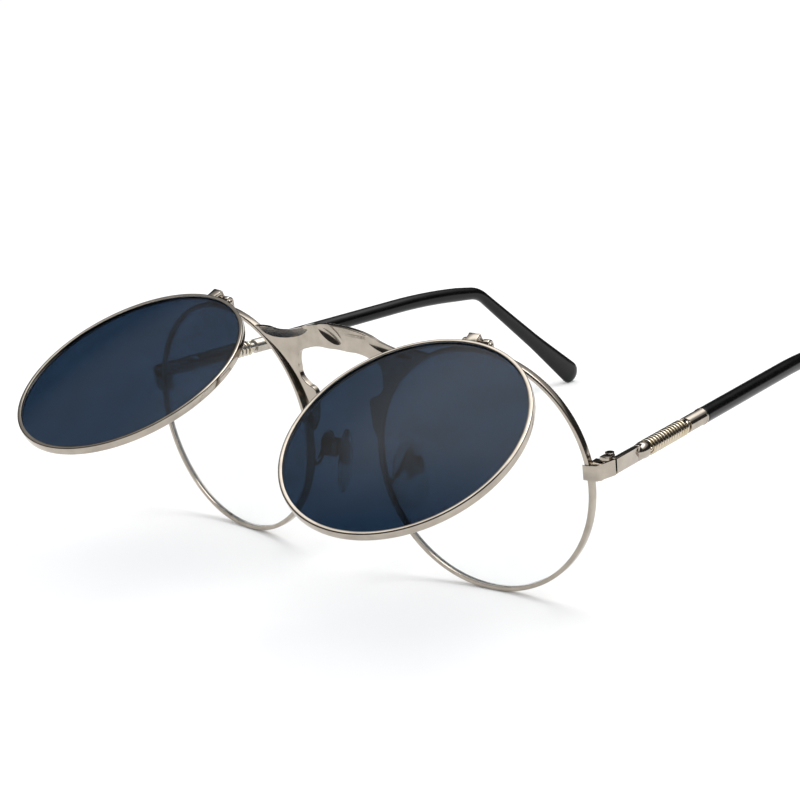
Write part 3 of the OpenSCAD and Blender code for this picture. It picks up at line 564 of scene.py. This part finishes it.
def bridge_plate():
    plate = bpy.data.curves.new("bridge_outline", "CURVE")
    plate.dimensions, plate.fill_mode, plate.resolution_u = "2D", "BOTH", 16
    plate.bevel_depth, plate.bevel_resolution, plate.offset = PLATE_ROUND, 2, -PLATE_ROUND
    plate.extrude = PLATE / 2 - PLATE_ROUND
    line = plate.splines.new("BEZIER")
    line.bezier_points.add(len(outline) - 1)
    line.use_cyclic_u = True
    for point, (x, z) in zip(line.bezier_points, outline):
        sharp = (abs(x), z) in corners
        point.co = (x, z, 0)
        point.handle_left_type = point.handle_right_type = "VECTOR" if sharp else "AUTO"
    return curve_mesh(plate, move(0, PLATE_Y, 0) @ ALONG_Y)


print("bridge plate, mm thick:", PLATE)

# %% [markdown]
# Boolean cuts fit the plate to the rims and mill the hollows. A hollow is the bite of a wide
# wheel: a slice of a ring whose section is a circle. Where it sinks into the flat plate it leaves a
# long oval, deepest in the middle and running out to nothing at its edge. Each row of the table
# below is one hollow: where it is, its length and width, the turn of its long side in degrees, and
# its depth. Two large ones reach over the plate's upper edge.

# %% Hollows of the bridge
HOLLOWS = [(14.6, 23.2, 14, 4.6, -8, 0.55), (-14.6, 23.2, 14, 4.6, 8, 0.55),
           (-1.9, 23.6, 7, 3.5, -28, 0.6)]
SNUG, ROOM, SEAT = 0.02, 0.25, 0.04  # overlap with the eye rim, room round the tinted one, step


def wheel(x, z, length, width, angle, depth):
    """The cutter for one row of the table."""
    section = (width ** 2 / 4 + depth ** 2) / (2 * depth)
    bow = (length ** 2 / 4 + depth ** 2) / (2 * depth)
    reach = 2.5 * math.degrees(math.atan(length / 2 / bow))
    half_turn = Matrix.Rotation(math.radians(reach / 2), 3, "Z")
    ring = bmesh.new()
    bmesh.ops.create_circle(ring, segments=48, radius=section, matrix=ALONG_X)
    bmesh.ops.translate(ring, verts=ring.verts, vec=(0, bow - section, 0))
    bmesh.ops.rotate(ring, verts=ring.verts, matrix=half_turn)
    spin_round(ring, list(ring.edges), (0, 0, 1), -reach, 24)
    close_ends(ring)
    place = move(x, PLATE_Y - PLATE / 2 + depth - bow, z) @ turn(-angle, "Y")
    bmesh.ops.transform(ring, matrix=place, verts=ring.verts)
    bmesh.ops.recalc_face_normals(ring, faces=ring.faces)
    return ring


def join(bm, other):
    """Adds the shape other to bm."""
    bmesh.ops.recalc_face_normals(other, faces=other.faces)
    step = new_mesh("step", other)
    bm.from_mesh(step)
    bpy.data.meshes.remove(step)


def carve(bm, cut):
    """bm with the solid of cut taken away, by a Boolean that is applied at once."""
    pair = [new_object("work", new_mesh("work", shape)) for shape in (bm, cut)]
    bite = pair[0].modifiers.new("bite", "BOOLEAN")
    bite.operation, bite.solver, bite.object = "DIFFERENCE", "EXACT", pair[1]
    left = final_shape(pair[0])
    for thing in pair:
        data = thing.data
        bpy.data.objects.remove(thing)
        bpy.data.meshes.remove(data)
    return left


def rim_disc(radius, front, back, mirrored=False):
    """A disc about the left lens's axis, or about its mirror image."""
    flip = Matrix.Scale(-1, 4, (1, 0, 0)) if mirrored else Matrix.Identity(4)
    place = flip @ LENS_FLAT @ move(0, (front + back) / 2, 0) @ ALONG_Y
    disc = bmesh.new()
    bmesh.ops.create_cone(disc, cap_ends=True, cap_tris=False, segments=256, radius1=radius,
                          radius2=radius, depth=back - front, matrix=place)
    return disc


def disc_pair(radius, front, back):
    pair = bmesh.new()
    for mirrored in (False, True):
        join(pair, rim_disc(radius, front, back, mirrored))
    return pair


bridge = bridge_plate()
for cutter in [disc_pair(EYE_OUT - SNUG, -5, 5), disc_pair(FLIP_OUT + ROOM, -6, SEAT - DEPTH / 2),
               *(wheel(*row) for row in HOLLOWS)]:
    bridge = carve(bridge, cutter)
finish_piece("bridge_plate", bridge, SIDES["left"] @ FRONT, "front", "bridge", nickel, 11)

# %% [markdown]
# An end piece joins each eye rim to its temple. Seen from above it is a bent strip: a short front
# face, a round corner, and a longer face that runs back and out to the temple. Six points and an
# extrusion give the strip, a bevel of the one upright edge gives the round, and a cut along two
# planes lets the outer part rise to the temple's height. The top is hollowed: an inset leaves a
# thin raised edge, as on the real casting. A disc fits its back to the rim. Two lugs behind it
# hold the hinge screw.

# %% End pieces
BAR, BAR_TALL = 1.2, 3.1            # section of the temple bar, which the end piece continues
LAP, FACE, PROUD = 0.85, 2.9, 0.15  # over the rim's opening, front face, step before the rim
HINGE_END = -0.75                   # where the end piece ends and the hinge's gap begins
CORNER_ROUND, BORDER, HOLLOW = 1.6, 0.28, 0.3
SCREW = (-1.68, 1, 0)               # the temple screw, from the start of the temple
LUG_R, LUG, LUG_Z = 1.0, 1.0, 1.23  # radius, thickness and height of a lug


def end_piece_mesh():
    bm = bmesh.new()
    start, front = EYE_R - LAP, -DEPTH / 2 - PROUD
    nose = LENS_FLAT @ Vector((start, front, 0))
    outer = LENS_FLAT @ Vector((start + FACE, front, 0))
    side_end = TEMPLE_FLAT @ Vector((BAR / 2, HINGE_END, 0))
    inner = TEMPLE_FLAT @ Vector((-2.88, HINGE_END, 0))
    back = LENS_FLAT @ Vector((EYE_OUT + 1, DEPTH / 2, 0))
    lap = LENS_FLAT @ Vector((start, DEPTH / 2, 0))
    low = CASTING_Z - BAR_TALL / 2
    plan = [bm.verts.new((p.x, p.y, low)) for p in (nose, outer, side_end, inner, back, lap)]
    bm.faces.new(plan)
    raised_part = bmesh.ops.extrude_face_region(bm, geom=list(bm.faces))["geom"]
    bmesh.ops.translate(bm, verts=[v for v in raised_part if isinstance(v, bmesh.types.BMVert)],
                        vec=(0, 0, BAR_TALL))
    corner = [e for e in bm.edges if all((v.co.xy - outer.xy).length < NEAR for v in e.verts)]
    round_edges(bm, corner, CORNER_ROUND, 8)
    rise_from, rise_to = outer.x, side_end.x
    for x in (rise_from, rise_to):
        bmesh.ops.bisect_plane(bm, geom=list(bm.verts) + list(bm.edges) + list(bm.faces),
                               plane_co=(x, 0, 0), plane_no=(1, 0, 0))
    for vert in bm.verts:
        share = min(max((vert.co.x - rise_from) / (rise_to - rise_from), 0), 1)
        vert.co.z += (TEMPLE_Z - CASTING_Z) * share
    bmesh.ops.recalc_face_normals(bm, faces=bm.faces)
    top = [f for f in bm.faces if f.normal.z > 0.8]
    bmesh.ops.inset_region(bm, faces=top, thickness=BORDER, depth=0, use_even_offset=True,
                           use_boundary=True)
    bmesh.ops.translate(bm, verts=list({v for f in top for v in f.verts}), vec=(0, 0, -HOLLOW))
    sharp = [e for e in bm.edges if e.is_manifold and e.calc_face_angle() > math.radians(30)]
    round_edges(bm, sharp, 0.1, 2)
    bm = carve(bm, rim_disc(EYE_OUT - SNUG, -DEPTH / 2, 5))
    lugs = bmesh.new()
    for z in (-LUG_Z, LUG_Z):
        barrel(lugs, move(0, 0, z), LUG_R, LUG, 0.12)
        block(lugs, (-LUG_R, -2.1, z - LUG / 2), (LUG_R, 0, z + LUG / 2), 0.1, 2)
    bmesh.ops.transform(lugs, matrix=TEMPLE_FLAT @ move(*SCREW), verts=lugs.verts)
    join(bm, lugs)
    return bm


for side, mirror in SIDES.items():
    finish_piece(side + "_end_casting", end_piece_mesh(), mirror @ FRONT, "front",
                 side + "_end_piece", nickel, 40)

# %% [markdown]
# A temple starts as a flat bar with softened edges. A fine seam shows where the bar was brazed
# to the round nose that carries the coil. The nose is turned, so a spin makes it. The tongue
# that sits between the two lugs is part of the bar.

# %% Temple bars
SEAM, NOSE_END, COIL_LEN = 7.9, 10.4, 16.4913  # places along the temple
BAR_START, NOSE_R, NOSE = -0.25, 1.7, 2.5  # front of the bar, round nose's radius and length
TONGUE_R, TONGUE = 1.0, 1.3


def temple_bar_mesh():
    bm = bmesh.new()
    wide, tall = BAR / 2, BAR_TALL / 2
    # The bar is made longer in front and cut, so that only its long edges are soft there.
    block(bm, (-wide, BAR_START - 1.1, -tall), (wide, SEAM - 0.02, tall), 0.25)
    cut = bmesh.ops.bisect_plane(bm, geom=list(bm.verts) + list(bm.edges) + list(bm.faces),
                                 plane_co=(0, BAR_START, 0), plane_no=(0, -1, 0), clear_outer=True)
    rim_edges = [e for e in cut["geom_cut"] if isinstance(e, bmesh.types.BMEdge)]
    bmesh.ops.edgeloop_fill(bm, edges=rim_edges)
    # Behind the seam, a collar, and between the two a slightly smaller core.
    block(bm, (-wide, SEAM, -tall), (wide, NOSE_END - 1, tall), 0.22)
    block(bm, (-0.5, SEAM - 0.3, -1.4), (0.5, SEAM + 0.3, 1.4), 0.1, 1)
    barrel(bm, move(*SCREW), TONGUE_R, TONGUE, 0.12)
    block(bm, (SCREW[0], 0, -TONGUE / 2), (0.1, 2 * TONGUE_R, TONGUE / 2), 0.1, 2)
    nose = [(NOSE_R * (1 - 0.9 * (i / 10) ** 2) ** 0.5, NOSE_END - NOSE * i / 10)
            for i in range(11)]
    turned = bmesh.new()
    line = chain(turned, [(0, NOSE_END, 0)] + [(r, y, 0) for r, y in nose]
                 + [(0, nose[-1][1] - 0.15, 0)], False)
    spin_round(turned, line, (0, 1, 0), steps=64)
    bmesh.ops.remove_doubles(turned, verts=turned.verts, dist=SAME)
    join(bm, turned)
    return bm


for side, mirror in SIDES.items():
    finish_piece(side + "_temple_plate", temple_bar_mesh(), mirror @ TEMPLE, side + "_temple",
                 side + "_temple_bar", nickel, 40)

# %% [markdown]
# The coil is one wire, wound 14 times round the rod, and its ends turn straight along the
# temple. A curve is Blender's own tool for a wire: its points follow the wire's middle, and its
# bevel gives the thickness. The points are worked out as if the winding were unrolled: so far
# along the temple, so far round it.

# %% Coils
WIRE, WIND_R, TURNS, PER_TURN = 0.68, 1.36, 14, 24  # one millimetre along for each turn
SLOPE_R, LEAD, BEND = 1.425, 0.55, 0.7  # radius that sets the slope, straight lead, its bend


def coil_mesh():
    around = 2 * math.pi * SLOPE_R
    slope = math.atan2(1.0, around)
    start, round_off = LEAD + BEND * math.cos(slope), BEND * (1 - math.sin(slope))
    lead = [(0.0, 0.0)]
    for i in range(7):
        a = (math.pi / 2 - slope) * i / 7
        lead.append((LEAD + BEND * math.sin(a), BEND * (1 - math.cos(a))))
    wound = [(start + i / PER_TURN, round_off + around * i / PER_TURN)
             for i in range(TURNS * PER_TURN + 1)]
    total = 2 * round_off + TURNS * around
    path = lead + wound + [(COIL_LEN - y, total - r) for y, r in reversed(lead)]
    wire = bpy.data.curves.new("coil_path", "CURVE")
    wire.dimensions, wire.bevel_depth, wire.bevel_resolution = "3D", WIRE / 2, 3
    wire.use_fill_caps = True
    spline = wire.splines.new("POLY")
    spline.points.add(len(path) - 1)
    for point, (y, r) in zip(spline.points, path):
        a = r / around * 2 * math.pi
        point.co = (WIND_R * math.cos(a), y, WIND_R * math.sin(a), 1)
    print("length of wire in one coil, mm:", round(spline.calc_length(), 1))
    return curve_mesh(wire, move(0, NOSE_END, 0))


for side, mirror in SIDES.items():
    finish_piece(side + "_coil_wire", coil_mesh(), mirror @ TEMPLE, side + "_temple",
                 side + "_coil", gold_wire, 60)

# %% [markdown]
# Behind the coil comes the shank, a turned bar with a lip against which the plastic ends. The
# same bar runs on inside the coil as a thinner rod. One spin makes it all, from its half
# section, and a bevel softens the lip and the shoulders.

# %% Shanks
SHANK = NOSE_END + COIL_LEN
LIP, SLEEVE, CORE_END = SHANK + 6.3, SHANK + 6.7, SHANK + 20
ROD_R, SHANK_R, LIP_R, CORE_R = 1.05, 1.6, 1.73, 0.7


def shank_mesh():
    bm = bmesh.new()
    section = [(0, NOSE_END - 0.5), (ROD_R, NOSE_END - 0.5), (ROD_R, SHANK), (SHANK_R, SHANK),
               (SHANK_R, LIP), (LIP_R, LIP), (LIP_R, SLEEVE), (CORE_R, SLEEVE),
               (CORE_R, CORE_END), (0, CORE_END)]
    edges = chain(bm, [(r, y, 0) for r, y in section], False)
    spin_round(bm, edges, (0, 1, 0), steps=72)
    bmesh.ops.remove_doubles(bm, verts=bm.verts, dist=SAME)
    bmesh.ops.recalc_face_normals(bm, faces=bm.faces)
    loops = [e for e in bm.edges if abs(e.verts[0].co.y - e.verts[1].co.y) < SAME
             and min(v.co.xz.length for v in e.verts) > SHANK_R - 0.1]
    round_edges(bm, loops, 0.09, 2)
    return bm


for side, mirror in SIDES.items():
    finish_piece(side + "_temple_rod", shank_mesh(), mirror @ TEMPLE, side + "_temple",
                 side + "_temple_shank", nickel, 40)

# %% [markdown]
# The acetate tip follows the temple's middle line: straight, then gently bowed, then bent behind
# the ear, then straight down to the table. Each stretch has a length or a radius and a turn, and
# one function gives the place and the direction at any length along it.

# %% Middle line of a temple
STRAIGHT, BOW, BOW_TURN, BEND_R, BEND_TURN = 69.0, 24.3, 9.0, 8.5, 33.0
TIP_END = 135.895
BOW_R = BOW / math.radians(BOW_TURN)
BEND_LEN = BEND_R * math.radians(BEND_TURN)


def middle_line(u):
    """(back, up, angle downwards in degrees) at the length u along a temple."""
    if u <= STRAIGHT:
        return u, 0.0, 0.0
    a = math.radians(min((u - STRAIGHT) / BOW, 1) * BOW_TURN)
    y, z = STRAIGHT + BOW_R * math.sin(a), -BOW_R * (1 - math.cos(a))
    if u <= STRAIGHT + BOW:
        return y, z, math.degrees(a)
    b = a + math.radians(min((u - STRAIGHT - BOW) / BEND_LEN, 1) * BEND_TURN)
    y += BEND_R * (math.sin(b) - math.sin(a))
    z += BEND_R * (math.cos(b) - math.cos(a))
    rest = max(u - STRAIGHT - BOW - BEND_LEN, 0)
    return y + rest * math.cos(b), z - rest * math.sin(b), math.degrees(b)


def between(table_rows, u):
    """A value that runs evenly between the rows (length, value) of a table."""
    for (u0, v0), (u1, v1) in zip(table_rows, table_rows[1:]):
        if u <= u1:
            return v0 + (v1 - v0) * max(u - u0, 0) / (u1 - u0)
    return table_rows[-1][1]


print("temple end, mm:", [round(c, 2) for c in middle_line(TIP_END)])

# %% [markdown]
# A ring is extruded along the middle line. Each step carries the last ring from one station's
# place and size to the next, so the tip can flatten towards its end. The last steps shrink the
# ring over a quarter circle, which rounds the end.

# %% Temple tips
BEND_STOP = STRAIGHT + BOW + BEND_LEN
DROP = TIP_END - BEND_STOP
TUBE_R, BEND_THIN = 1.68, 1.35
HEIGHTS = [(SLEEVE, TUBE_R), (STRAIGHT + 0.8 * BOW, TUBE_R), (BEND_STOP, BEND_THIN),
           (BEND_STOP + 0.6 * DROP, 1.85), (BEND_STOP + 0.9 * DROP, 2.53), (TIP_END, 2.75)]
WIDTHS = [(SLEEVE, TUBE_R), (STRAIGHT, TUBE_R), (BEND_STOP, BEND_THIN), (TIP_END, 1.15)]


def ring_place(u, shrink=1.0, shift=0.0):
    """Carries a unit circle to the length u of the temple, at the tip's size there."""
    y, z, angle = middle_line(u)
    size = Matrix.Diagonal((between(WIDTHS, u) * shrink, 1, between(HEIGHTS, u) * shrink, 1))
    return move(0, y, z) @ turn(-angle, "X") @ move(0, shift, 0) @ size


def tip_mesh():
    bm = bmesh.new()
    bmesh.ops.create_circle(bm, segments=32, radius=1, matrix=ALONG_Y)
    places = [ring_place(SLEEVE, 0.94), ring_place(SLEEVE, 0.985, 0.05),
              ring_place(SLEEVE, 1, 0.15)]
    places += [ring_place(SLEEVE + 1 + (STRAIGHT - SLEEVE - 1) * i / 6) for i in range(7)]
    places += [ring_place(STRAIGHT + BOW * i / 10) for i in range(1, 11)]
    places += [ring_place(STRAIGHT + BOW + BEND_LEN * i / 8) for i in range(1, 9)]
    places += [ring_place(BEND_STOP + DROP * i / 14) for i in range(1, 15)]
    half = between(HEIGHTS, TIP_END)
    for degrees in (12, 24, 36, 48, 60, 72, 82):
        a = math.radians(degrees)
        places.append(ring_place(TIP_END, math.cos(a), half * math.sin(a)))
    bmesh.ops.transform(bm, matrix=places[0], verts=bm.verts)
    ring = list(bm.edges)
    bmesh.ops.edgeloop_fill(bm, edges=ring)
    for last, following in zip(places, places[1:]):
        made = bmesh.ops.extrude_edge_only(bm, edges=ring)["geom"]
        verts = [v for v in made if isinstance(v, bmesh.types.BMVert)]
        ring = [e for e in made if isinstance(e, bmesh.types.BMEdge)
                and all(v in verts for v in e.verts)]
        bmesh.ops.transform(bm, matrix=following @ last.inverted(), verts=verts)
    bmesh.ops.edgeloop_fill(bm, edges=ring)
    return bm


for side, mirror in SIDES.items():
    finish_piece(side + "_acetate_tip", tip_mesh(), mirror @ TEMPLE, side + "_temple",
                 side + "_temple_tip", acetate, 60)

# %% [markdown]
# A nose pad is a small pillow of silicone. A sphere is stretched to the pad's length, width and
# thickness, and its sides are squared a little, so that the rim of the pad is full and its face
# nearly flat. It is narrower towards its upper end.

# %% Nose pads
PAD_HALF_WIDE, PAD_HALF_TALL, TAPER = 3.8, 6.9, 0.12
SOFT_SIDE, FLAT_SIDE, FULLNESS = 1.3, 0.5, 0.6  # thickness to the nose and to the stem


def pad_mesh():
    bm = bmesh.new()
    bmesh.ops.create_uvsphere(bm, u_segments=64, v_segments=32, radius=1)
    for vert in bm.verts:
        x, y, z = vert.co
        thick = -SOFT_SIDE if x < 0 else FLAT_SIDE
        vert.co = (abs(x) ** FULLNESS * thick, y * PAD_HALF_WIDE * (1 - TAPER * z),
                   z * PAD_HALF_TALL)
    bmesh.ops.translate(bm, verts=bm.verts, vec=(-2.3 - FLAT_SIDE, 0, -2.7))
    return bm


for side, mirror in SIDES.items():
    finish_piece(side + "_silicone_pad", pad_mesh(), mirror @ PAD, side + "_pad",
                 side + "_nose_pad", soft_silicone, 80)

# %% [markdown]
# Each pad hangs on a stem with an eye, which a screw holds in a small open box. The stem is put
# together from three barrels and a block. Most of it lies inside the clear pad and shows through.

# %% Pad stems
STEM_EYE_R, NECK_R, PLATE_R = 0.95, 0.5, 1.3


def stem_mesh():
    """An eye, a neck, a round plate and a leaf that lies inside the pad."""
    bm = bmesh.new()
    barrel(bm, ALONG_Y, STEM_EYE_R, 1.3, 0.12)
    barrel(bm, move(-1.4, 0, 0) @ ALONG_X, NECK_R, 1.8, 0.05)
    barrel(bm, move(-2.55, 0, 0) @ ALONG_X, PLATE_R, 0.4, 0.12)
    block(bm, (-2.75, -0.8, -3.2), (-2.4, 0.8, 0), 0.15, 2)
    return bm


for side, mirror in SIDES.items():
    finish_piece(side + "_pad_hanger", stem_mesh(), mirror @ PAD, side + "_pad",
                 side + "_pad_stem", nickel, 50)

# %% [markdown]
# The box is brazed to a bowed wire that springs from the rim. It is a cube whose front face is
# inset and pushed in. The wire is a curve again, with automatic handles for its easy bow.

# %% Pad arms
ROOT_BELOW, ARM_R = 6, 0.55                  # where the wire springs from the rim, its radius
BOX, BOX_TALL, BOX_WALL, BOX_DEEP = 3, 3.2, 0.4, 2.6


def pad_arm_mesh():
    angle, wrap = -math.degrees(math.asin(ROOT_BELOW / EYE_OUT)), math.radians(WRAP)
    x, z = at_rim(angle, -0.45)
    y = (x - LENS_X) * math.tan(wrap) + DEPTH / 2 / math.cos(wrap) - 0.1
    top = PAD_FLAT @ Vector((0, 0, BOX_TALL / 2))
    leave = Vector((-math.sin(wrap), math.cos(wrap), 0))
    root = Vector((x, y, z))
    route = [root, root + 1.1 * leave, root + Vector((0.29, 3.2, 1.41)),
             Vector((top.x + 0.2, top.y - 1.57, -1.57)), Vector((top.x, top.y - 0.27, -1.37)),
             top + Vector((0, 0, 0.27)), top - Vector((0, 0, 0.3))]
    wire = bpy.data.curves.new("pad_arm_path", "CURVE")
    wire.dimensions, wire.bevel_depth, wire.bevel_resolution = "3D", ARM_R, 4
    wire.use_fill_caps, wire.resolution_u = True, 8
    spline = wire.splines.new("BEZIER")
    spline.bezier_points.add(len(route) - 1)
    for point, place in zip(spline.bezier_points, route):
        point.co = place
        point.handle_left_type = point.handle_right_type = "AUTO"
    bm = curve_mesh(wire, Matrix.Identity(4))
    box = bmesh.new()
    bmesh.ops.create_cube(box, size=1, matrix=Matrix.Diagonal((BOX, BOX, BOX_TALL, 1)))
    mouth = [f for f in box.faces if f.normal.x < -0.9]
    bmesh.ops.inset_region(box, faces=mouth, thickness=BOX_WALL, depth=0)
    bmesh.ops.translate(box, verts=list({v for f in mouth for v in f.verts}),
                        vec=(BOX_DEEP, 0, 0))
    round_edges(box, [e for e in box.edges if e.calc_face_angle(0) > 0.5], 0.12, 2)
    bmesh.ops.transform(box, matrix=PAD_FLAT, verts=box.verts)
    join(bm, box)
    return bm


for side, mirror in SIDES.items():
    finish_piece(side + "_pad_wire_and_box", pad_arm_mesh(), mirror @ FRONT, "front",
                 side + "_pad_arm", nickel, 40)

# %% [markdown]
# The stage is a table covered with white paper. It fills the view and keeps the soft shadows. The
# paper is matt, so it mirrors nothing of the glasses.

# %% Table
paper, paper_tree = new_material("white_table_paper")[:2]
matt = add(paper_tree, "ShaderNodeBsdfPrincipled",
           {"Base Color": linear("#FDFDFD"), "Roughness": 0.9, "Specular IOR Level": 0.0})
show(paper_tree, matt.outputs["BSDF"])
table = bmesh.new()
bmesh.ops.create_grid(table, x_segments=2, y_segments=2, size=3.0)
floor = new_object("table", new_mesh("table", table))
floor.data.materials.append(paper)
print("table corners:", len(floor.data.vertices))

# %% [markdown]
# The world is white to the camera, through the lenses and as soft light. Only reflections see
# bands of light, because polished metal looks like metal when it has something dark to mirror.
# Behind the glasses the room is dark halfway up and the ceiling above is bright. Before them it is
# dark but for a lamp straight above. A thin bright line along the horizon is the far end of the
# white table.

# %% Light of the room
world = bpy.data.worlds.new("studio")
bpy.context.scene.world = world
world.use_nodes = True
sky = world.node_tree
sky.nodes.clear()
ray = add(sky, "ShaderNodeTexCoord").outputs["Generated"]
split = add(sky, "ShaderNodeSeparateXYZ", links={"Vector": ray})


def light_bands(stops):
    """The brightness of the room by height, from the horizon at 0 to straight up at 1."""
    made = add(sky, "ShaderNodeValToRGB", links={"Fac": split.outputs["Z"]})
    elements = made.color_ramp.elements
    for at, level in stops:
        ends = {0.0: 0, 1.0: -1}
        element = elements[ends[at]] if at in ends else elements.new(at)
        element.color = (level, level, level, 1)
    print("light bands:", [(round(e.position, 2), round(e.color[0], 2)) for e in elements])
    return made.outputs["Color"]


low_light = [(0.0, 1.0), (0.03, 0.8), (0.06, 0.03)]
behind = light_bands(low_light + [(0.5, 0.04), (0.56, 0.35), (0.68, 0.5), (0.74, 1.0), (0.8, 2.2),
                                  (0.9, 2.6), (1.0, 2.6)])
before = light_bands(low_light + [(0.6, 0.05), (0.97, 0.08), (1.0, 1.0)])
backwards = add(sky, "ShaderNodeMapRange", {"From Min": -0.12, "From Max": 0.03},
                {"Value": split.outputs["Y"]})
bands = add(sky, "ShaderNodeMix", links={"Factor": backwards.outputs["Result"],
                                         "A": before, "B": behind}, data_type="RGBA")
path = add(sky, "ShaderNodeLightPath")
white = add(sky, "ShaderNodeBackground", {"Color": (1, 1, 1, 1), "Strength": 1.0})
room = add(sky, "ShaderNodeBackground", {"Strength": 1.0}, {"Color": bands.outputs["Result"]})
seen = add(sky, "ShaderNodeMath", links={0: path.outputs["Is Camera Ray"],
                                         1: path.outputs["Is Transmission Ray"]},
           operation="MAXIMUM")
for_metal = add(sky, "ShaderNodeMixShader", links={0: path.outputs["Is Glossy Ray"],
                                                   1: white.outputs[0], 2: room.outputs[0]})
whole = add(sky, "ShaderNodeMixShader", links={0: seen.outputs[0], 1: for_metal.outputs[0],
                                               2: white.outputs[0]})
add(sky, "ShaderNodeOutputWorld", links={"Surface": whole.outputs[0]})

# %% [markdown]
# One softbox hangs high above and a little behind the glasses. It gives the shadows on the table
# their direction, and it is half a metre wide, so that they have soft edges.

# %% Softbox
light = bpy.data.lights.new("softbox_overhead", "AREA")
light.shape, light.size, light.energy = "DISK", 0.5, 2.2
lamp = new_object("softbox_overhead", light)
lamp.location = (0.1, 0.25, 0.9)
aim = Vector((0, 0, 0.02)) - lamp.location
lamp.rotation_euler = aim.to_track_quat("-Z", "Y").to_euler()
bpy.context.scene.view_settings.view_transform = "Standard"
print("stage ready")
